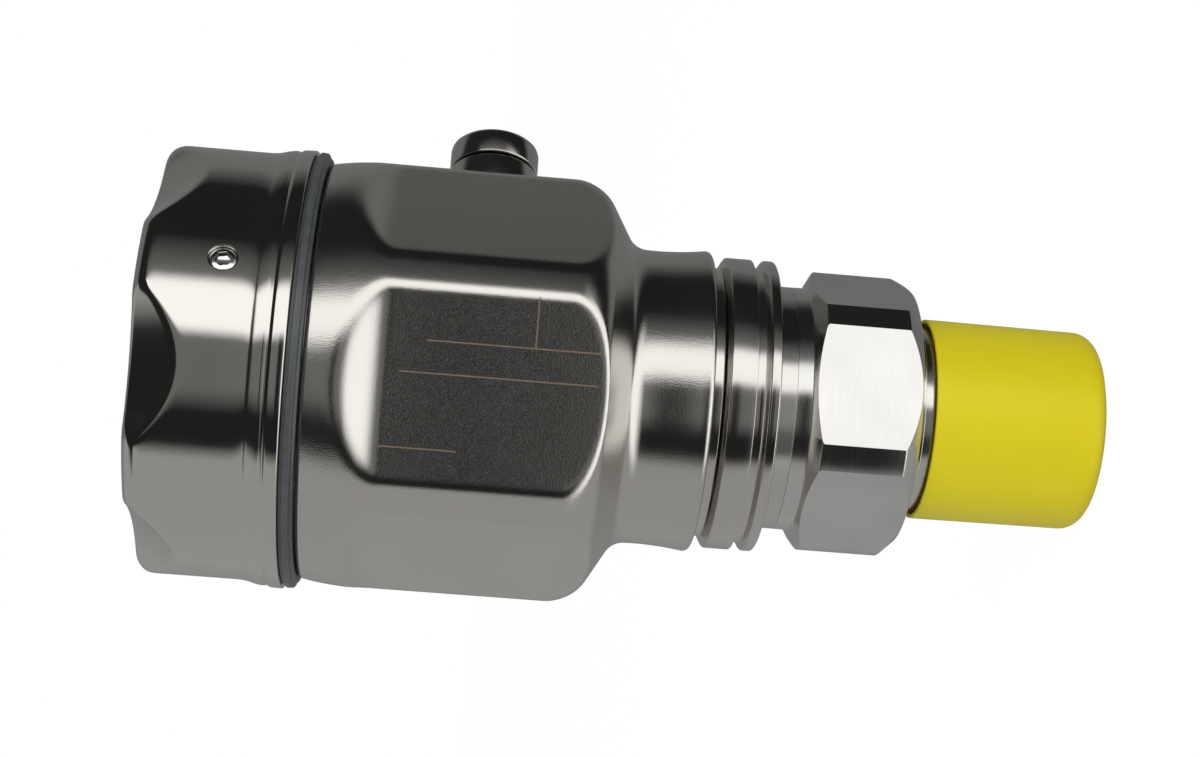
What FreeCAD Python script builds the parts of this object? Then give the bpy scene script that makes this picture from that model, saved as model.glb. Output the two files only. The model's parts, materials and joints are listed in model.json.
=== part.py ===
"""Pressure transmitter with a stainless steel hygienic housing, as a parametric document.

It stands upright on the flat end of its protective cap. +Z runs up the axis, from the threaded
process end to the screw cover. The origin is on the axis, in the sealing face under the hexagon,
where the collar and the pipe thread start. -Y is the front: the side of the plate that is read.
Lengths are millimetres. Heights are measured from the sealing face.
"""
import FreeCAD
import Part
import Sketcher
import math
import os
import re

# name, value, what it is
SIZES = [
    # process connection: a hexagon milled on round bar, with a pipe thread below it
    ("thread_radius", 16.62, "outer radius of the G 1 pipe thread"),
    ("thread_length", 30.5, "sealing face to the flush end of the thread"),
    ("thread_chamfer", 1.8, "lead-in chamfer of the thread"),
    ("collar_radius", 16.0, "plain collar under the sealing face"),
    ("collar_length", 1.3, "height of that collar"),
    ("relief_radius", 15.2, "floor of the thread relief"),
    ("relief_width", 0.5, "width of the thread relief"),
    ("bar_radius", 24.75, "round bar that the hexagon is milled on"),
    ("hex_across", 45.0, "across the flats of the hexagon"),
    ("hex_turn", 13.6, "degrees from the front to the nearest flat of the hexagon"),
    ("foot_radius", 20.9, "sealing face, where the lower chamfer of the bar starts"),
    ("foot_rise", 3.9, "height of the lower chamfer"),
    ("hex_top", 18.0, "height where the upper chamfer starts"),
    ("head_rise", 1.8, "height of the upper chamfer"),
    ("neck_radius", 21.35, "plain neck over the hexagon"),
    ("weld_height", 22.5, "weld seam in the plain neck"),
    ("module_bore", 17.5, "bore that holds the sensor module"),
    ("module_floor", 14.0, "height of the floor of that bore"),
    ("lead_bore", 4.0, "bore for the leads of the measuring cell"),
    ("cell_bore", 11.2, "recess of the measuring cell"),
    ("cell_depth", 8.5, "depth of that recess"),
    # sensor neck: two rings and a spigot that carries the housing
    ("ring_radius", 25.6, "both rings"),
    ("lower_ring_bottom", 26.05, "height"),
    ("lower_ring_top", 27.55, "height where its upper chamfer starts"),
    ("ring_gap_radius", 24.2, "floor of the gap between the rings"),
    ("ring_gap_bottom", 28.3, "height"),
    ("ring_gap_top", 29.8, "height, underside of the upper ring"),
    ("upper_ring_top", 34.2, "height where its upper chamfer starts"),
    ("spigot_radius", 23.6, "spigot inside the housing's neck"),
    ("spigot_start", 35.3, "height where the chamfer meets the spigot"),
    ("spigot_top", 47.2, "height of the end of the spigot"),
    ("stop_groove_radius", 22.5, "groove that the set screw reaches into"),
    ("stop_groove_bottom", 37.4, "height"),
    ("stop_groove_top", 41.0, "height"),
    ("seal_groove_radius", 21.8, "groove of the neck O-ring"),
    ("seal_groove_bottom", 42.6, "height"),
    ("seal_groove_top", 44.6, "height"),
    ("neck_o_ring_radius", 0.85, "half thickness of the neck O-ring"),
    ("running_gap", 0.3, "gap between pieces that move past each other"),
    # housing: deep-drawn steel with six flats round it
    ("lip_bottom", 36.9, "height of the lower edge of the neck"),
    ("lip_radius", 26.5, "flared lip of the neck"),
    ("lip_edge", 0.6, "rounded edge of the lip"),
    ("throat_radius", 25.7, "neck of the housing at its narrowest"),
    ("throat_height", 43.0, "height of the narrowest place"),
    ("shoulder_low_radius", 25.85, "radius at the foot of the shoulder"),
    ("shoulder_low", 50.3, "height of the foot of the shoulder"),
    ("shoulder_low_bend", 4.0, "bend at the foot of the shoulder"),
    ("shoulder_high", 56.9, "height of the top of the shoulder"),
    ("shoulder_high_bend", 8.0, "bend at the top of the shoulder"),
    ("body_radius", 37.05, "round part of the housing"),
    ("body_top", 100.0, "height where the housing draws in to its mouth"),
    ("mouth_radius", 36.45, "outside of the mouth"),
    ("mouth_height", 103.8, "height of the mouth's edge"),
    ("mouth_bore", 35.1, "inside of the mouth"),
    ("mouth_floor", 98.8, "height where the mouth's bore ends"),
    ("flat_distance", 33.5, "axis to each flat"),
    ("flat_top", 94.2, "height where a flat starts to run out"),
    ("flat_run_out", 5.6, "height over which it runs out"),
    ("flat_run_in", 3.55, "how far it runs out towards the round part"),
    ("flat_count", 6, "flats round the housing"),
    ("drawn_wall", 1.6, "thickness of the drawn wall"),
    ("corner_radius", 35.2, "inside radius between two flats"),
    ("corner_floor", 62.0, "height of the floor of the corners inside"),
    ("ledge_radius", 20.0, "bore of the ledge that rests on the spigot"),
    ("ledge_height", 1.9, "thickness of that ledge"),
    ("cavity_foot_radius", 23.4, "cavity at the foot of the shoulder"),
    ("cavity_foot", 50.9, "height"),
    ("cavity_shoulder", 55.9, "height of the cavity at the top of the shoulder"),
    # mouth collar: the ring that carries the thread of the cover
    ("collar_wall_gap", 0.05, "fit of the collar in the mouth"),
    ("ledge_thickness", 3.0, "thickness of the ledge for the electronics"),
    ("collar_foot_radius", 31.6, "outside of the collar under the mouth's bore"),
    ("cover_thread_radius", 34.15, "thread for the cover"),
    ("collar_top", 118.5, "height of its upper edge"),
    ("collar_bore", 32.3, "bore over the ledge"),
    ("insert_ledge_bore", 26.5, "bore of the ledge that carries the electronics"),
    ("insert_ledge", 100.0, "height of that ledge"),
    # cover: six grip scoops round its edge
    ("skirt_bottom", 106.6, "height of the cover's lower edge"),
    ("skirt_bore", 34.5, "thread in the cover"),
    ("rim_radius", 38.13, "widest place of the rim"),
    ("rim_edge", 0.45, "rounding of the rim's lower edge"),
    ("rim_top_radius", 37.65, "upper edge of the rim"),
    ("rim_top", 109.1, "height of that edge"),
    ("rim_groove_radius", 36.85, "groove over the rim"),
    ("rim_groove", 110.1, "height of that groove"),
    ("cover_radius", 37.1, "plain side of the cover"),
    ("cover_side_bottom", 110.7, "height where the plain side starts"),
    ("cover_top", 131.7, "height of the cover's face"),
    ("cover_edge_round", 3.2, "rounding of the face's edge"),
    ("cover_cavity_top", 129.2, "height of the cavity in the cover"),
    ("cover_cavity_radius", 30.0, "radius of the cavity at its top"),
    ("cover_cavity_shoulder", 123.0, "height where the cavity is full width"),
    ("scoop_count", 6, "grip scoops"),
    ("scoop_face_radius", 31.0, "axis to the deepest place of a scoop, in the face"),
    ("scoop_tilt", 36.6, "degrees between a scoop's floor and the axis"),
    ("scoop_radius", 42.0, "hollow curve across a scoop"),
    ("scoop_reach", 30.0, "half length of the cutter"),
    ("scoop_edge_round", 0.7, "rounding along the edges of the scoops"),
    ("lock_height", 117.8, "height of the cover's lock screw"),
    ("lock_turn", 28.6, "degrees from the front to the lock screw"),
    ("lock_radius", 2.0, "lock screw"),
    ("lock_fit", 0.08, "fit of the lock screw in its hole"),
    ("lock_sunk", 0.25, "how deep its head lies"),
    ("lock_length", 2.2, "length of the lock screw"),
    ("lock_socket", 2.0, "across the flats of its socket"),
    ("lock_socket_depth", 1.3, "depth of its socket"),
    # cover seal
    ("seal_bottom", 103.95, "height of the lower face of the cover's seal"),
    ("seal_top", 106.45, "height of its upper face"),
    ("seal_radius", 38.1, "outside of the seal"),
    ("seal_round", 0.6, "rounding of its outer edge"),
    # measuring cell and sensor module
    ("membrane_radius", 11.0, "metal membrane at the flush end"),
    ("membrane_thickness", 0.3, "membrane with its weld rim"),
    ("cell_radius", 11.1, "measuring cell"),
    ("header_radius", 6.0, "glass header on the cell"),
    ("header_height", 2.0, "height of the header above the cell"),
    ("lead_radius", 2.0, "bundle of leads"),
    ("module_radius", 16.4, "sensor module"),
    ("module_top", 45.0, "height of the top of the sensor module"),
    ("cable_radius", 2.0, "cable from the sensor module to the electronics"),
    ("cable_entry", 3.0, "depth of the cable's hole in the electronics insert"),
    # electronics
    ("insert_radius", 26.2, "body of the electronics insert"),
    ("insert_depth", 16.0, "how deep the insert hangs under the collar's ledge"),
    ("flange_radius", 31.9, "flange of the insert"),
    ("flange_seat", 0.05, "gap under the flange"),
    ("flange_thickness", 2.95, "flange of the insert"),
    ("passage_width", 14.0, "cable passage beside the insert"),
    ("passage_depth", 20.0, "axis to the floor of the passage"),
    ("screw_place", 20.8, "X and Y of the insert's screws"),
    ("screw_radius", 1.25, "thread of the insert's screws"),
    ("screw_head_radius", 2.1, "head of the insert's screws"),
    ("screw_head_height", 1.8, "height of their heads"),
    ("screw_length", 5.5, "length of their threads"),
    ("screw_fit", 0.05, "fit of small screws in their holes"),
    ("slot_width", 0.7, "driver slot of small screws"),
    ("slot_depth", 0.9, "depth of the driver slot"),
    ("board_length", 34.0, "circuit board under its window, along X"),
    ("board_width", 13.0, "circuit board along Y"),
    ("board_thickness", 1.6, "circuit board"),
    ("board_back", -4.0, "Y of the middle of the board"),
    ("board_sunk", 3.0, "depth of the board's window in the insert"),
    ("board_fit", 0.2, "gap round the board in its window"),
    ("terminal_length", 26.0, "terminal block along X"),
    ("terminal_width", 10.0, "terminal block along Y"),
    ("terminal_height", 8.0, "height of the terminal block"),
    ("terminal_back", 11.0, "Y of the middle of the terminal block"),
    ("terminal_count", 3, "poles of the terminal block"),
    ("terminal_pitch", 8.0, "spacing of its poles"),
    ("terminal_screw_radius", 2.0, "terminal screws"),
    ("terminal_screw_depth", 3.2, "depth of their holes in the block"),
    ("wire_mouth_width", 4.4, "wire openings of the terminal block"),
    ("wire_mouth_height", 3.4, "height of the wire openings"),
    ("wire_mouth_depth", 5.5, "depth of the wire openings"),
    ("button_radius", 2.0, "push buttons"),
    ("button_spacing", 22.0, "distance between the two push buttons"),
    ("button_back", -18.5, "Y of the push buttons"),
    ("button_height", 2.2, "how far a button stands out"),
    ("button_sunk", 2.0, "how far it reaches into the insert"),
    ("button_travel", 1.0, "travel of a button"),
    ("button_fit", 0.08, "gap round a button in its hole"),
    ("switch_count", 5, "sliders of the switch block"),
    ("switch_pitch", 2.54, "spacing of the sliders"),
    ("switch_width", 6.2, "switch block along Y"),
    ("switch_height", 3.6, "height of the switch block above the board"),
    ("switch_slot", 1.9, "width of a slider's slot"),
    ("switch_slot_length", 4.0, "length of a slider's slot"),
    ("switch_slot_depth", 1.6, "depth of a slider's slot"),
    ("slider_width", 1.3, "slider along X"),
    ("slider_length", 1.5, "slider along Y"),
    ("slider_height", 2.0, "height of a slider"),
    ("slider_travel", 1.8, "travel of a slider"),
    ("slider_lift", 0.1, "gap under a slider"),
    ("switch_left", -6.5, "X of the middle of the switch block"),
    ("led_radius", 1.2, "status light"),
    ("led_place", 11.0, "X of the status light"),
    ("led_height", 2.2, "height of the status light over the board"),
    ("ground_place", -22.0, "X of the ground terminal"),
    ("ground_back", 8.0, "Y of the ground terminal"),
    ("ground_radius", 1.9, "ground terminal screw"),
    ("washer_radius", 3.6, "washer under the ground terminal screw"),
    ("washer_height", 0.8, "thickness of that washer"),
    # cable gland, behind
    ("entry_height", 75.9, "height of the cable gland and of the vent"),
    ("gland_azimuth", 90.0, "degrees from +X to the gland's flat"),
    ("socket_radius", 12.6, "welded socket of the gland"),
    ("socket_end", 37.4, "axis to the outer face of the socket"),
    ("socket_spigot", 11.6, "spigot of the socket in the housing's hole"),
    ("entry_hole", 11.75, "hole in the flat for the socket"),
    ("socket_bore", 10.05, "threaded bore of the socket"),
    ("gland_stem", 9.95, "M20 stem of the gland"),
    ("stem_start", 29.0, "axis to the inner end of the stem"),
    ("gland_ring_height", 1.6, "thickness of the gland's O-ring"),
    ("gland_ring_inner", 10.3, "inside of the O-ring"),
    ("gland_ring_outer", 12.0, "outside of the O-ring"),
    ("gland_hex", 24.0, "across the flats of the gland body and of its nut"),
    ("gland_hex_height", 6.0, "height of the hexagon of the gland body"),
    ("gland_thread", 9.2, "thread for the nut"),
    ("gland_thread_length", 8.5, "length of that thread"),
    ("gland_bore", 6.2, "bore of the gland body"),
    ("gland_cup", 7.6, "cup for the sealing insert"),
    ("gland_cup_depth", 6.5, "depth of the cup"),
    ("sleeve_radius", 7.3, "rubber sealing insert"),
    ("sleeve_bore", 4.5, "bore of the sealing insert, for the cable"),
    ("sleeve_length", 9.0, "length of the sealing insert"),
    ("sleeve_gap", 0.3, "gap between the sealing insert and the nut"),
    ("nut_gap", 1.2, "gap between the nut and the gland body's hexagon"),
    ("nut_length", 13.0, "length of the dome nut"),
    ("nut_bore", 9.5, "bore of the nut round the thread"),
    ("nut_mouth", 5.6, "opening of the nut for the cable"),
    ("nut_roof", 1.6, "thickness of the nut's end"),
    ("nut_dome", 8.6, "outside of the dome at its end"),
    ("nut_dome_height", 4.5, "height of the dome"),
    # vent, on the flat beside the gland
    ("vent_azimuth", 30.0, "degrees from +X to the vent's flat"),
    ("vent_radius", 8.1, "vent nozzle and its cap"),
    ("vent_joint", 43.4, "axis to the joint between nozzle and cap"),
    ("vent_gap", 0.6, "gap between nozzle and cap"),
    ("vent_end", 49.2, "axis to the outer face of the cap"),
    ("vent_edge", 1.1, "rounding of the cap's edge"),
    ("vent_spigot", 5.0, "spigot of the nozzle in the housing's hole"),
    ("vent_hole", 5.1, "hole in the flat for the nozzle"),
    ("vent_stem", 5.8, "stem that the cap snaps on"),
    ("vent_stem_end", 46.4, "axis to the end of the stem"),
    ("vent_bore", 2.0, "air passage"),
    ("filter_radius", 5.2, "filter disc"),
    ("filter_thickness", 0.5, "filter disc"),
    ("vent_cap_bore", 6.15, "inside of the cap"),
    ("vent_cap_roof", 1.6, "thickness of the cap's end"),
    ("vent_ring_thickness", 0.5, "flat ring under the filter"),
    # neck set screw, behind
    ("set_screw_height", 39.2, "height of the set screw in the neck"),
    ("set_screw_azimuth", 125.0, "degrees from +X to the set screw"),
    ("set_screw_radius", 1.45, "set screw"),
    ("set_screw_fit", 0.08, "fit of the set screw in its hole"),
    ("set_screw_tip", 22.85, "axis to the tip of the set screw"),
    ("set_screw_end", 25.6, "axis to the outer end of the set screw"),
    ("set_screw_socket", 1.5, "across the flats of its socket"),
    ("set_screw_socket_depth", 1.2, "depth of its socket"),
    # protective cap over the thread
    ("cap_open_end", -2.0, "height of the cap's open edge"),
    ("cap_open_radius", 17.67, "outside at the open edge"),
    ("cap_end_radius", 17.45, "outside where the end starts to round"),
    ("cap_end", -32.1, "height of the closed end"),
    ("cap_end_round", 3.5, "rounding of the closed end"),
    ("cap_bore", 16.92, "inside of the cap"),
    ("cap_floor", 1.3, "thickness of the closed end"),
    ("cap_inner_round", 2.0, "chamfer inside the closed end"),
]

document = FreeCAD.newDocument("PressureTransmitter")
sheet = document.addObject("Spreadsheet::Sheet", "Sizes")
for line, (alias, number, meaning) in enumerate(SIZES, start=1):
    sheet.set(f"A{line}", alias)
    sheet.set(f"B{line}", str(number))
    sheet.setAlias(f"B{line}", alias)
    sheet.set(f"C{line}", meaning)
document.recompute()

ALIASES = {alias for alias, number, meaning in SIZES}
FRONT = FreeCAD.Vector(0, -1, 0)
UP = FreeCAD.Vector(0, 0, 1)


DERIVED = {
    "FLANGE_TOP": "(insert_ledge + flange_seat + flange_thickness)",
    "INSERT_BOTTOM": "(insert_ledge - insert_depth)",
}


def size(alias):
    """The number that the sheet holds under this name."""
    return float(sheet.get(alias))


def formula(text):
    """A formula in the sheet's names, in the form that an expression needs."""
    for word, meaning in DERIVED.items():
        text = text.replace(word, meaning)
    return re.sub(r"[a-z]\w*", lambda word: "Sizes." + word[0] if word[0] in ALIASES else word[0], text)


def bind(thing, **properties):
    """Ties properties of a document object to formulas."""
    for name, text in properties.items():
        thing.setExpression(name, formula(text))
    return thing


def new_body(name):
    """An empty body, named as its node is."""
    body = document.addObject("PartDesign::Body", name)
    body.Label = name
    return body


def origin_part(body, role):
    """One of the body's own planes or axes, such as XZ_Plane or Z_Axis."""
    return next(item for item in body.Origin.OriginFeatures if item.Role == role)


def new_sketch(body, plane, height=None):
    """A sketch on one of the body's own planes, raised along its normal if a height is given."""
    sketch = body.newObject("Sketcher::SketchObject", body.Label + "_sketch")
    sketch.AttachmentSupport = (origin_part(body, plane), [""])
    sketch.MapMode = "FlatFace"
    if height:
        sketch.setExpression("AttachmentOffset.Base.z", formula(height))
    return sketch


def fix_point(sketch, line, across, up):
    """Places the start of one line by its distances from the sketch's origin.

    Sketcher numbers a sketch's origin -1 and its vertical axis -2.
    """
    for kind, text in (("DistanceX", across), ("DistanceY", up)):
        if kind == "DistanceX" and text == "0":
            sketch.addConstraint(Sketcher.Constraint("PointOnObject", line, 1, -2))
            continue
        rule = Sketcher.Constraint(kind, -1, 1, line, 1, 1.0)
        number = sketch.addConstraint(rule)
        sketch.setExpression(f"Constraints[{number}]", formula(text))


def outline(body, plane, corners, height=None):
    """A closed outline through the corners, each a pair of formulas: across and up."""
    sketch = new_sketch(body, plane, height)
    count = len(corners)
    spread = [2 * math.pi * turn / count for turn in range(count)]
    start = [FreeCAD.Vector(2 + math.cos(turn), math.sin(turn), 0) for turn in spread]
    for line in range(count):
        sketch.addGeometry(Part.LineSegment(start[line], start[(line + 1) % count]), False)
    for line in range(count):
        sketch.addConstraint(Sketcher.Constraint("Coincident", line, 2, (line + 1) % count, 1))
    for line, (across, up) in enumerate(corners):
        fix_point(sketch, line, across, up)
    return sketch


def spin(body, kind, corners):
    """A Revolution or Groove of an outline of radius and height pairs, about Z."""
    sketch = outline(body, "XZ_Plane", corners)
    turned = body.newObject("PartDesign::" + kind, body.Label + "_" + kind.lower())
    turned.Profile = sketch
    turned.ReferenceAxis = (sketch, ["V_Axis"])
    turned.Angle = 360
    return turned


def turned(name, corners):
    """A piece that is turned, or drawn on a lathe."""
    body = new_body(name)
    spin(body, "Revolution", corners)
    return body


def push(body, kind, plane, corners, length, height=None, both_ways=False, backwards=False):
    """A Pad or Pocket of an outline, as long as the formula says."""
    sketch = outline(body, plane, corners, height)
    pushed = body.newObject("PartDesign::" + kind, body.Label + "_" + kind.lower())
    pushed.Profile = sketch
    pushed.SideType = "Symmetric" if both_ways else "One side"
    pushed.Reversed = backwards
    return bind(pushed, Length=length)


def rectangle(left, right, low, high):
    """Corners of a rectangle from four formulas."""
    return [(left, low), (right, low), (right, high), (left, high)]


def hole(body, plane, across, up, radius, length, height=None, backwards=False, kind="Pocket"):
    """A round Pocket or Pad whose centre and radius are formulas."""
    sketch = new_sketch(body, plane, height)
    sketch.addGeometry(Part.Circle(FreeCAD.Vector(1, 1, 0), UP, 1.0), False)
    for rule, text in (("DistanceX", across), ("DistanceY", up)):
        number = sketch.addConstraint(Sketcher.Constraint(rule, -1, 1, 0, 3, 1.0))
        sketch.setExpression(f"Constraints[{number}]", formula(text))
    number = sketch.addConstraint(Sketcher.Constraint("Radius", 0, 1.0))
    sketch.setExpression(f"Constraints[{number}]", formula(radius))
    drilled = body.newObject("PartDesign::" + kind, body.Label + "_round")
    drilled.Profile = sketch
    drilled.Reversed = backwards
    return bind(drilled, Length=length)


def around(body, feature, count):
    """Repeats a feature evenly about Z."""
    pattern = body.newObject("PartDesign::PolarPattern", body.Label + "_around")
    pattern.Originals = [feature]
    pattern.Axis = (origin_part(body, "Z_Axis"), [""])
    pattern.Angle = 360
    bind(pattern, Occurrences=count)
    body.Tip = pattern
    return pattern


def soften(body, radius, wanted):
    """Rounds each edge of the body so far that the test picks."""
    document.recompute()
    base = body.Tip
    names = [f"Edge{n}" for n, edge in enumerate(base.Shape.Edges, start=1) if wanted(edge)]
    fillet = body.newObject("PartDesign::Fillet", body.Label + "_round_edges")
    fillet.Base = (base, names)
    return bind(fillet, Radius=radius)


def is_ring(radius, height):
    """A test for the round edge about Z with this radius and height."""
    def test(edge):
        curve = edge.Curve
        round_edge = isinstance(curve, Part.Circle) and abs(curve.Radius - radius) < 1e-3
        return round_edge and abs(curve.Center.z - height) < 1e-3
    return test


def turn_about_z(body, degrees):
    """Turns a body about the main axis by a formula in degrees."""
    body.Placement = FreeCAD.Placement(FreeCAD.Vector(), FreeCAD.Rotation(UP, 1))
    body.setExpression("Placement.Rotation.Angle", formula(degrees))


def point_outwards(body, height, azimuth):
    """Lays a body that was made along Z so that it points outwards from the axis."""
    outwards = FreeCAD.Rotation(UP, size(azimuth)).multiply(FreeCAD.Rotation(FreeCAD.Vector(0, 1, 0), 90))
    body.Placement = FreeCAD.Placement(FreeCAD.Vector(), outwards)
    body.setExpression("Placement.Base.z", formula(height))


def hexagon_cut(body, across, low, high, reach):
    """Mills six flats between two heights on a body about Z."""
    corners = rectangle(f"-{reach}", f"-{across} / 2", low, high)
    flat = push(body, "Pocket", "YZ_Plane", corners, f"2 * {reach}", both_ways=True)
    around(body, flat, "6")


# ---------------------------------------------------------------- process connection

def make_process_connection():
    """Thread, sealing face and hexagon, turned and milled from one bar."""
    body = turned("process_connection", [
        ("cell_bore", "-thread_length"),
        ("thread_radius - thread_chamfer", "-thread_length"),
        ("thread_radius", "thread_chamfer - thread_length"),
        ("thread_radius", "-collar_length - relief_width"),
        ("relief_radius", "-collar_length - relief_width"),
        ("relief_radius", "-collar_length"),
        ("collar_radius", "-collar_length"),
        ("collar_radius", "0"),
        ("foot_radius", "0"),
        ("bar_radius", "foot_rise"),
        ("bar_radius", "hex_top"),
        ("neck_radius", "hex_top + head_rise"),
        ("neck_radius", "weld_height"),
        ("module_bore", "weld_height"),
        ("module_bore", "module_floor"),
        ("lead_bore", "module_floor"),
        ("lead_bore", "cell_depth - thread_length"),
        ("cell_bore", "cell_depth - thread_length"),
    ])
    hexagon_cut(body, "hex_across", "-1", "weld_height - 1", "(bar_radius + 2)")
    turn_about_z(body, "hex_turn")


def make_sensor_neck():
    """Two rings over the weld, and the spigot that the housing turns on."""
    turned("sensor_neck", [
        ("module_bore", "weld_height"),
        ("neck_radius", "weld_height"),
        ("neck_radius", "lower_ring_bottom - 0.3"),
        ("ring_radius - 0.4", "lower_ring_bottom - 0.3"),
        ("ring_radius", "lower_ring_bottom"),
        ("ring_radius", "lower_ring_top"),
        ("ring_gap_radius", "ring_gap_bottom"),
        ("ring_gap_radius", "ring_gap_top"),
        ("ring_radius", "ring_gap_top"),
        ("ring_radius", "upper_ring_top"),
        ("spigot_radius", "spigot_start"),
        ("spigot_radius", "stop_groove_bottom"),
        ("stop_groove_radius", "stop_groove_bottom"),
        ("stop_groove_radius", "stop_groove_top"),
        ("spigot_radius", "stop_groove_top"),
        ("spigot_radius", "seal_groove_bottom"),
        ("seal_groove_radius", "seal_groove_bottom"),
        ("seal_groove_radius", "seal_groove_top"),
        ("spigot_radius", "seal_groove_top"),
        ("spigot_radius", "spigot_top"),
        ("module_bore", "spigot_top"),
    ])


def make_neck_o_ring():
    """O-ring in the upper groove of the spigot."""
    ring = document.addObject("Part::Torus", "neck_o_ring")
    ring.Label = "neck_o_ring"
    bind(ring, Radius1="spigot_radius - neck_o_ring_radius", Radius2="neck_o_ring_radius")
    ring.setExpression("Placement.Base.z", formula("(seal_groove_bottom + seal_groove_top) / 2"))


def make_measuring_cell():
    """Membrane, cell with its header, leads and the module that conditions the signal."""
    turned("isolating_membrane", [
        ("0", "-thread_length"),
        ("membrane_radius", "-thread_length"),
        ("membrane_radius", "membrane_thickness - thread_length"),
        ("0", "membrane_thickness - thread_length"),
    ])
    cell_top = "cell_depth - thread_length"
    turned("measuring_cell", [
        ("0", "membrane_thickness - thread_length"),
        ("cell_radius", "membrane_thickness - thread_length"),
        ("cell_radius", f"{cell_top} - header_height"),
        ("header_radius", f"{cell_top} - header_height"),
        ("header_radius", cell_top),
        ("0", cell_top),
    ])
    leads = document.addObject("Part::Cylinder", "cell_leads")
    leads.Label = "cell_leads"
    bind(leads, Radius="lead_radius", Height=f"module_floor - ({cell_top})")
    leads.setExpression("Placement.Base.z", formula(cell_top))
    turned("sensor_module", [
        ("0", "module_floor"),
        ("module_radius - 1", "module_floor"),
        ("module_radius", "module_floor + 1"),
        ("module_radius", "module_top - 3"),
        ("module_radius - 3", "module_top"),
        ("0", "module_top"),
    ])
    cable = document.addObject("Part::Cylinder", "sensor_cable")
    cable.Label = "sensor_cable"
    bind(cable, Radius="cable_radius",
         Height="INSERT_BOTTOM + cable_entry - running_gap - module_top")
    cable.setExpression("Placement.Base.z", formula("module_top"))


# ---------------------------------------------------------------- housing

def make_housing():
    """Deep-drawn shell with a neck, a shoulder and six flats that run out under the mouth."""
    body = turned("housing", [
        ("0", "lip_bottom"),
        ("lip_radius - lip_edge", "lip_bottom"),
        ("lip_radius", "lip_bottom + lip_edge"),
        ("throat_radius", "throat_height"),
        ("shoulder_low_radius", "shoulder_low"),
        ("body_radius", "shoulder_high"),
        ("body_radius", "body_top"),
        ("mouth_radius", "mouth_height"),
        ("0", "mouth_height"),
    ])
    soften(body, "shoulder_low_bend", is_ring(size("shoulder_low_radius"), size("shoulder_low")))
    soften(body, "shoulder_high_bend", is_ring(size("body_radius"), size("shoulder_high")))
    flat = push(body, "Pocket", "YZ_Plane", [
        ("-flat_distance", "shoulder_low"),
        ("-body_radius - 8", "shoulder_low"),
        ("-body_radius - 8", "flat_top + flat_run_out * (body_radius + 8 - flat_distance) / flat_run_in"),
        ("-flat_distance", "flat_top"),
    ], "2 * body_radius", both_ways=True)
    around(body, flat, "flat_count")
    spin(body, "Groove", [
        ("0", "lip_bottom - 1"),
        ("spigot_radius + running_gap", "lip_bottom - 1"),
        ("spigot_radius + running_gap", "spigot_top + running_gap"),
        ("ledge_radius", "spigot_top + running_gap"),
        ("ledge_radius", "spigot_top + running_gap + ledge_height"),
        ("cavity_foot_radius", "cavity_foot"),
        ("flat_distance - drawn_wall", "cavity_shoulder"),
        ("flat_distance - drawn_wall", "mouth_floor"),
        ("mouth_bore", "mouth_floor"),
        ("mouth_bore", "mouth_height + 1"),
        ("0", "mouth_height + 1"),
    ])
    flat_inside = "(flat_distance - drawn_wall)"
    corner_out = f"(({flat_inside} / cos(30) - corner_radius) * tan(60))"
    corner_in = f"(({flat_inside} / cos(30) - {flat_inside} + 2) * tan(60))"
    corner = push(body, "Pocket", "XY_Plane", [
        (f"-{corner_out}", "-corner_radius"),
        (corner_out, "-corner_radius"),
        (corner_in, f"2 - {flat_inside}"),
        (f"-{corner_in}", f"2 - {flat_inside}"),
    ], "mouth_floor - corner_floor", height="mouth_floor")
    corner.Profile[0].setExpression("AttachmentOffset.Rotation.Angle", "30 deg")
    around(body, corner, "flat_count")
    drill_outwards(body, "gland_azimuth", "entry_height", "entry_hole")
    drill_outwards(body, "vent_azimuth", "entry_height", "vent_hole")
    drill_outwards(body, "set_screw_azimuth", "set_screw_height", "set_screw_radius + set_screw_fit")


def is_whole_ring(edge):
    """True for a closed round edge about Z."""
    return isinstance(edge.Curve, Part.Circle) and edge.Curve.Axis.cross(UP).Length < 1e-6


def drill_outwards(body, azimuth, height, radius):
    """Drills through the wall of a body about Z, along one azimuth."""
    sketch = new_sketch(body, "YZ_Plane")
    sketch.addGeometry(Part.Circle(FreeCAD.Vector(1, 1, 0), UP, 1.0), False)
    sketch.addConstraint(Sketcher.Constraint("PointOnObject", 0, 3, -2))
    for rule, text in ((Sketcher.Constraint("DistanceY", -1, 1, 0, 3, 1.0), height),
                       (Sketcher.Constraint("Radius", 0, 1.0), radius)):
        number = sketch.addConstraint(rule)
        sketch.setExpression(f"Constraints[{number}]", formula(text))
    turn = FreeCAD.Rotation(FreeCAD.Vector(0, 1, 0), 1)
    sketch.AttachmentOffset = FreeCAD.Placement(FreeCAD.Vector(), turn)
    sketch.setExpression("AttachmentOffset.Rotation.Angle", formula(azimuth))
    drilled = body.newObject("PartDesign::Pocket", body.Label + "_drilled")
    drilled.Profile = sketch
    drilled.Reversed = True
    bind(drilled, Length="2 * body_radius")


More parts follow.
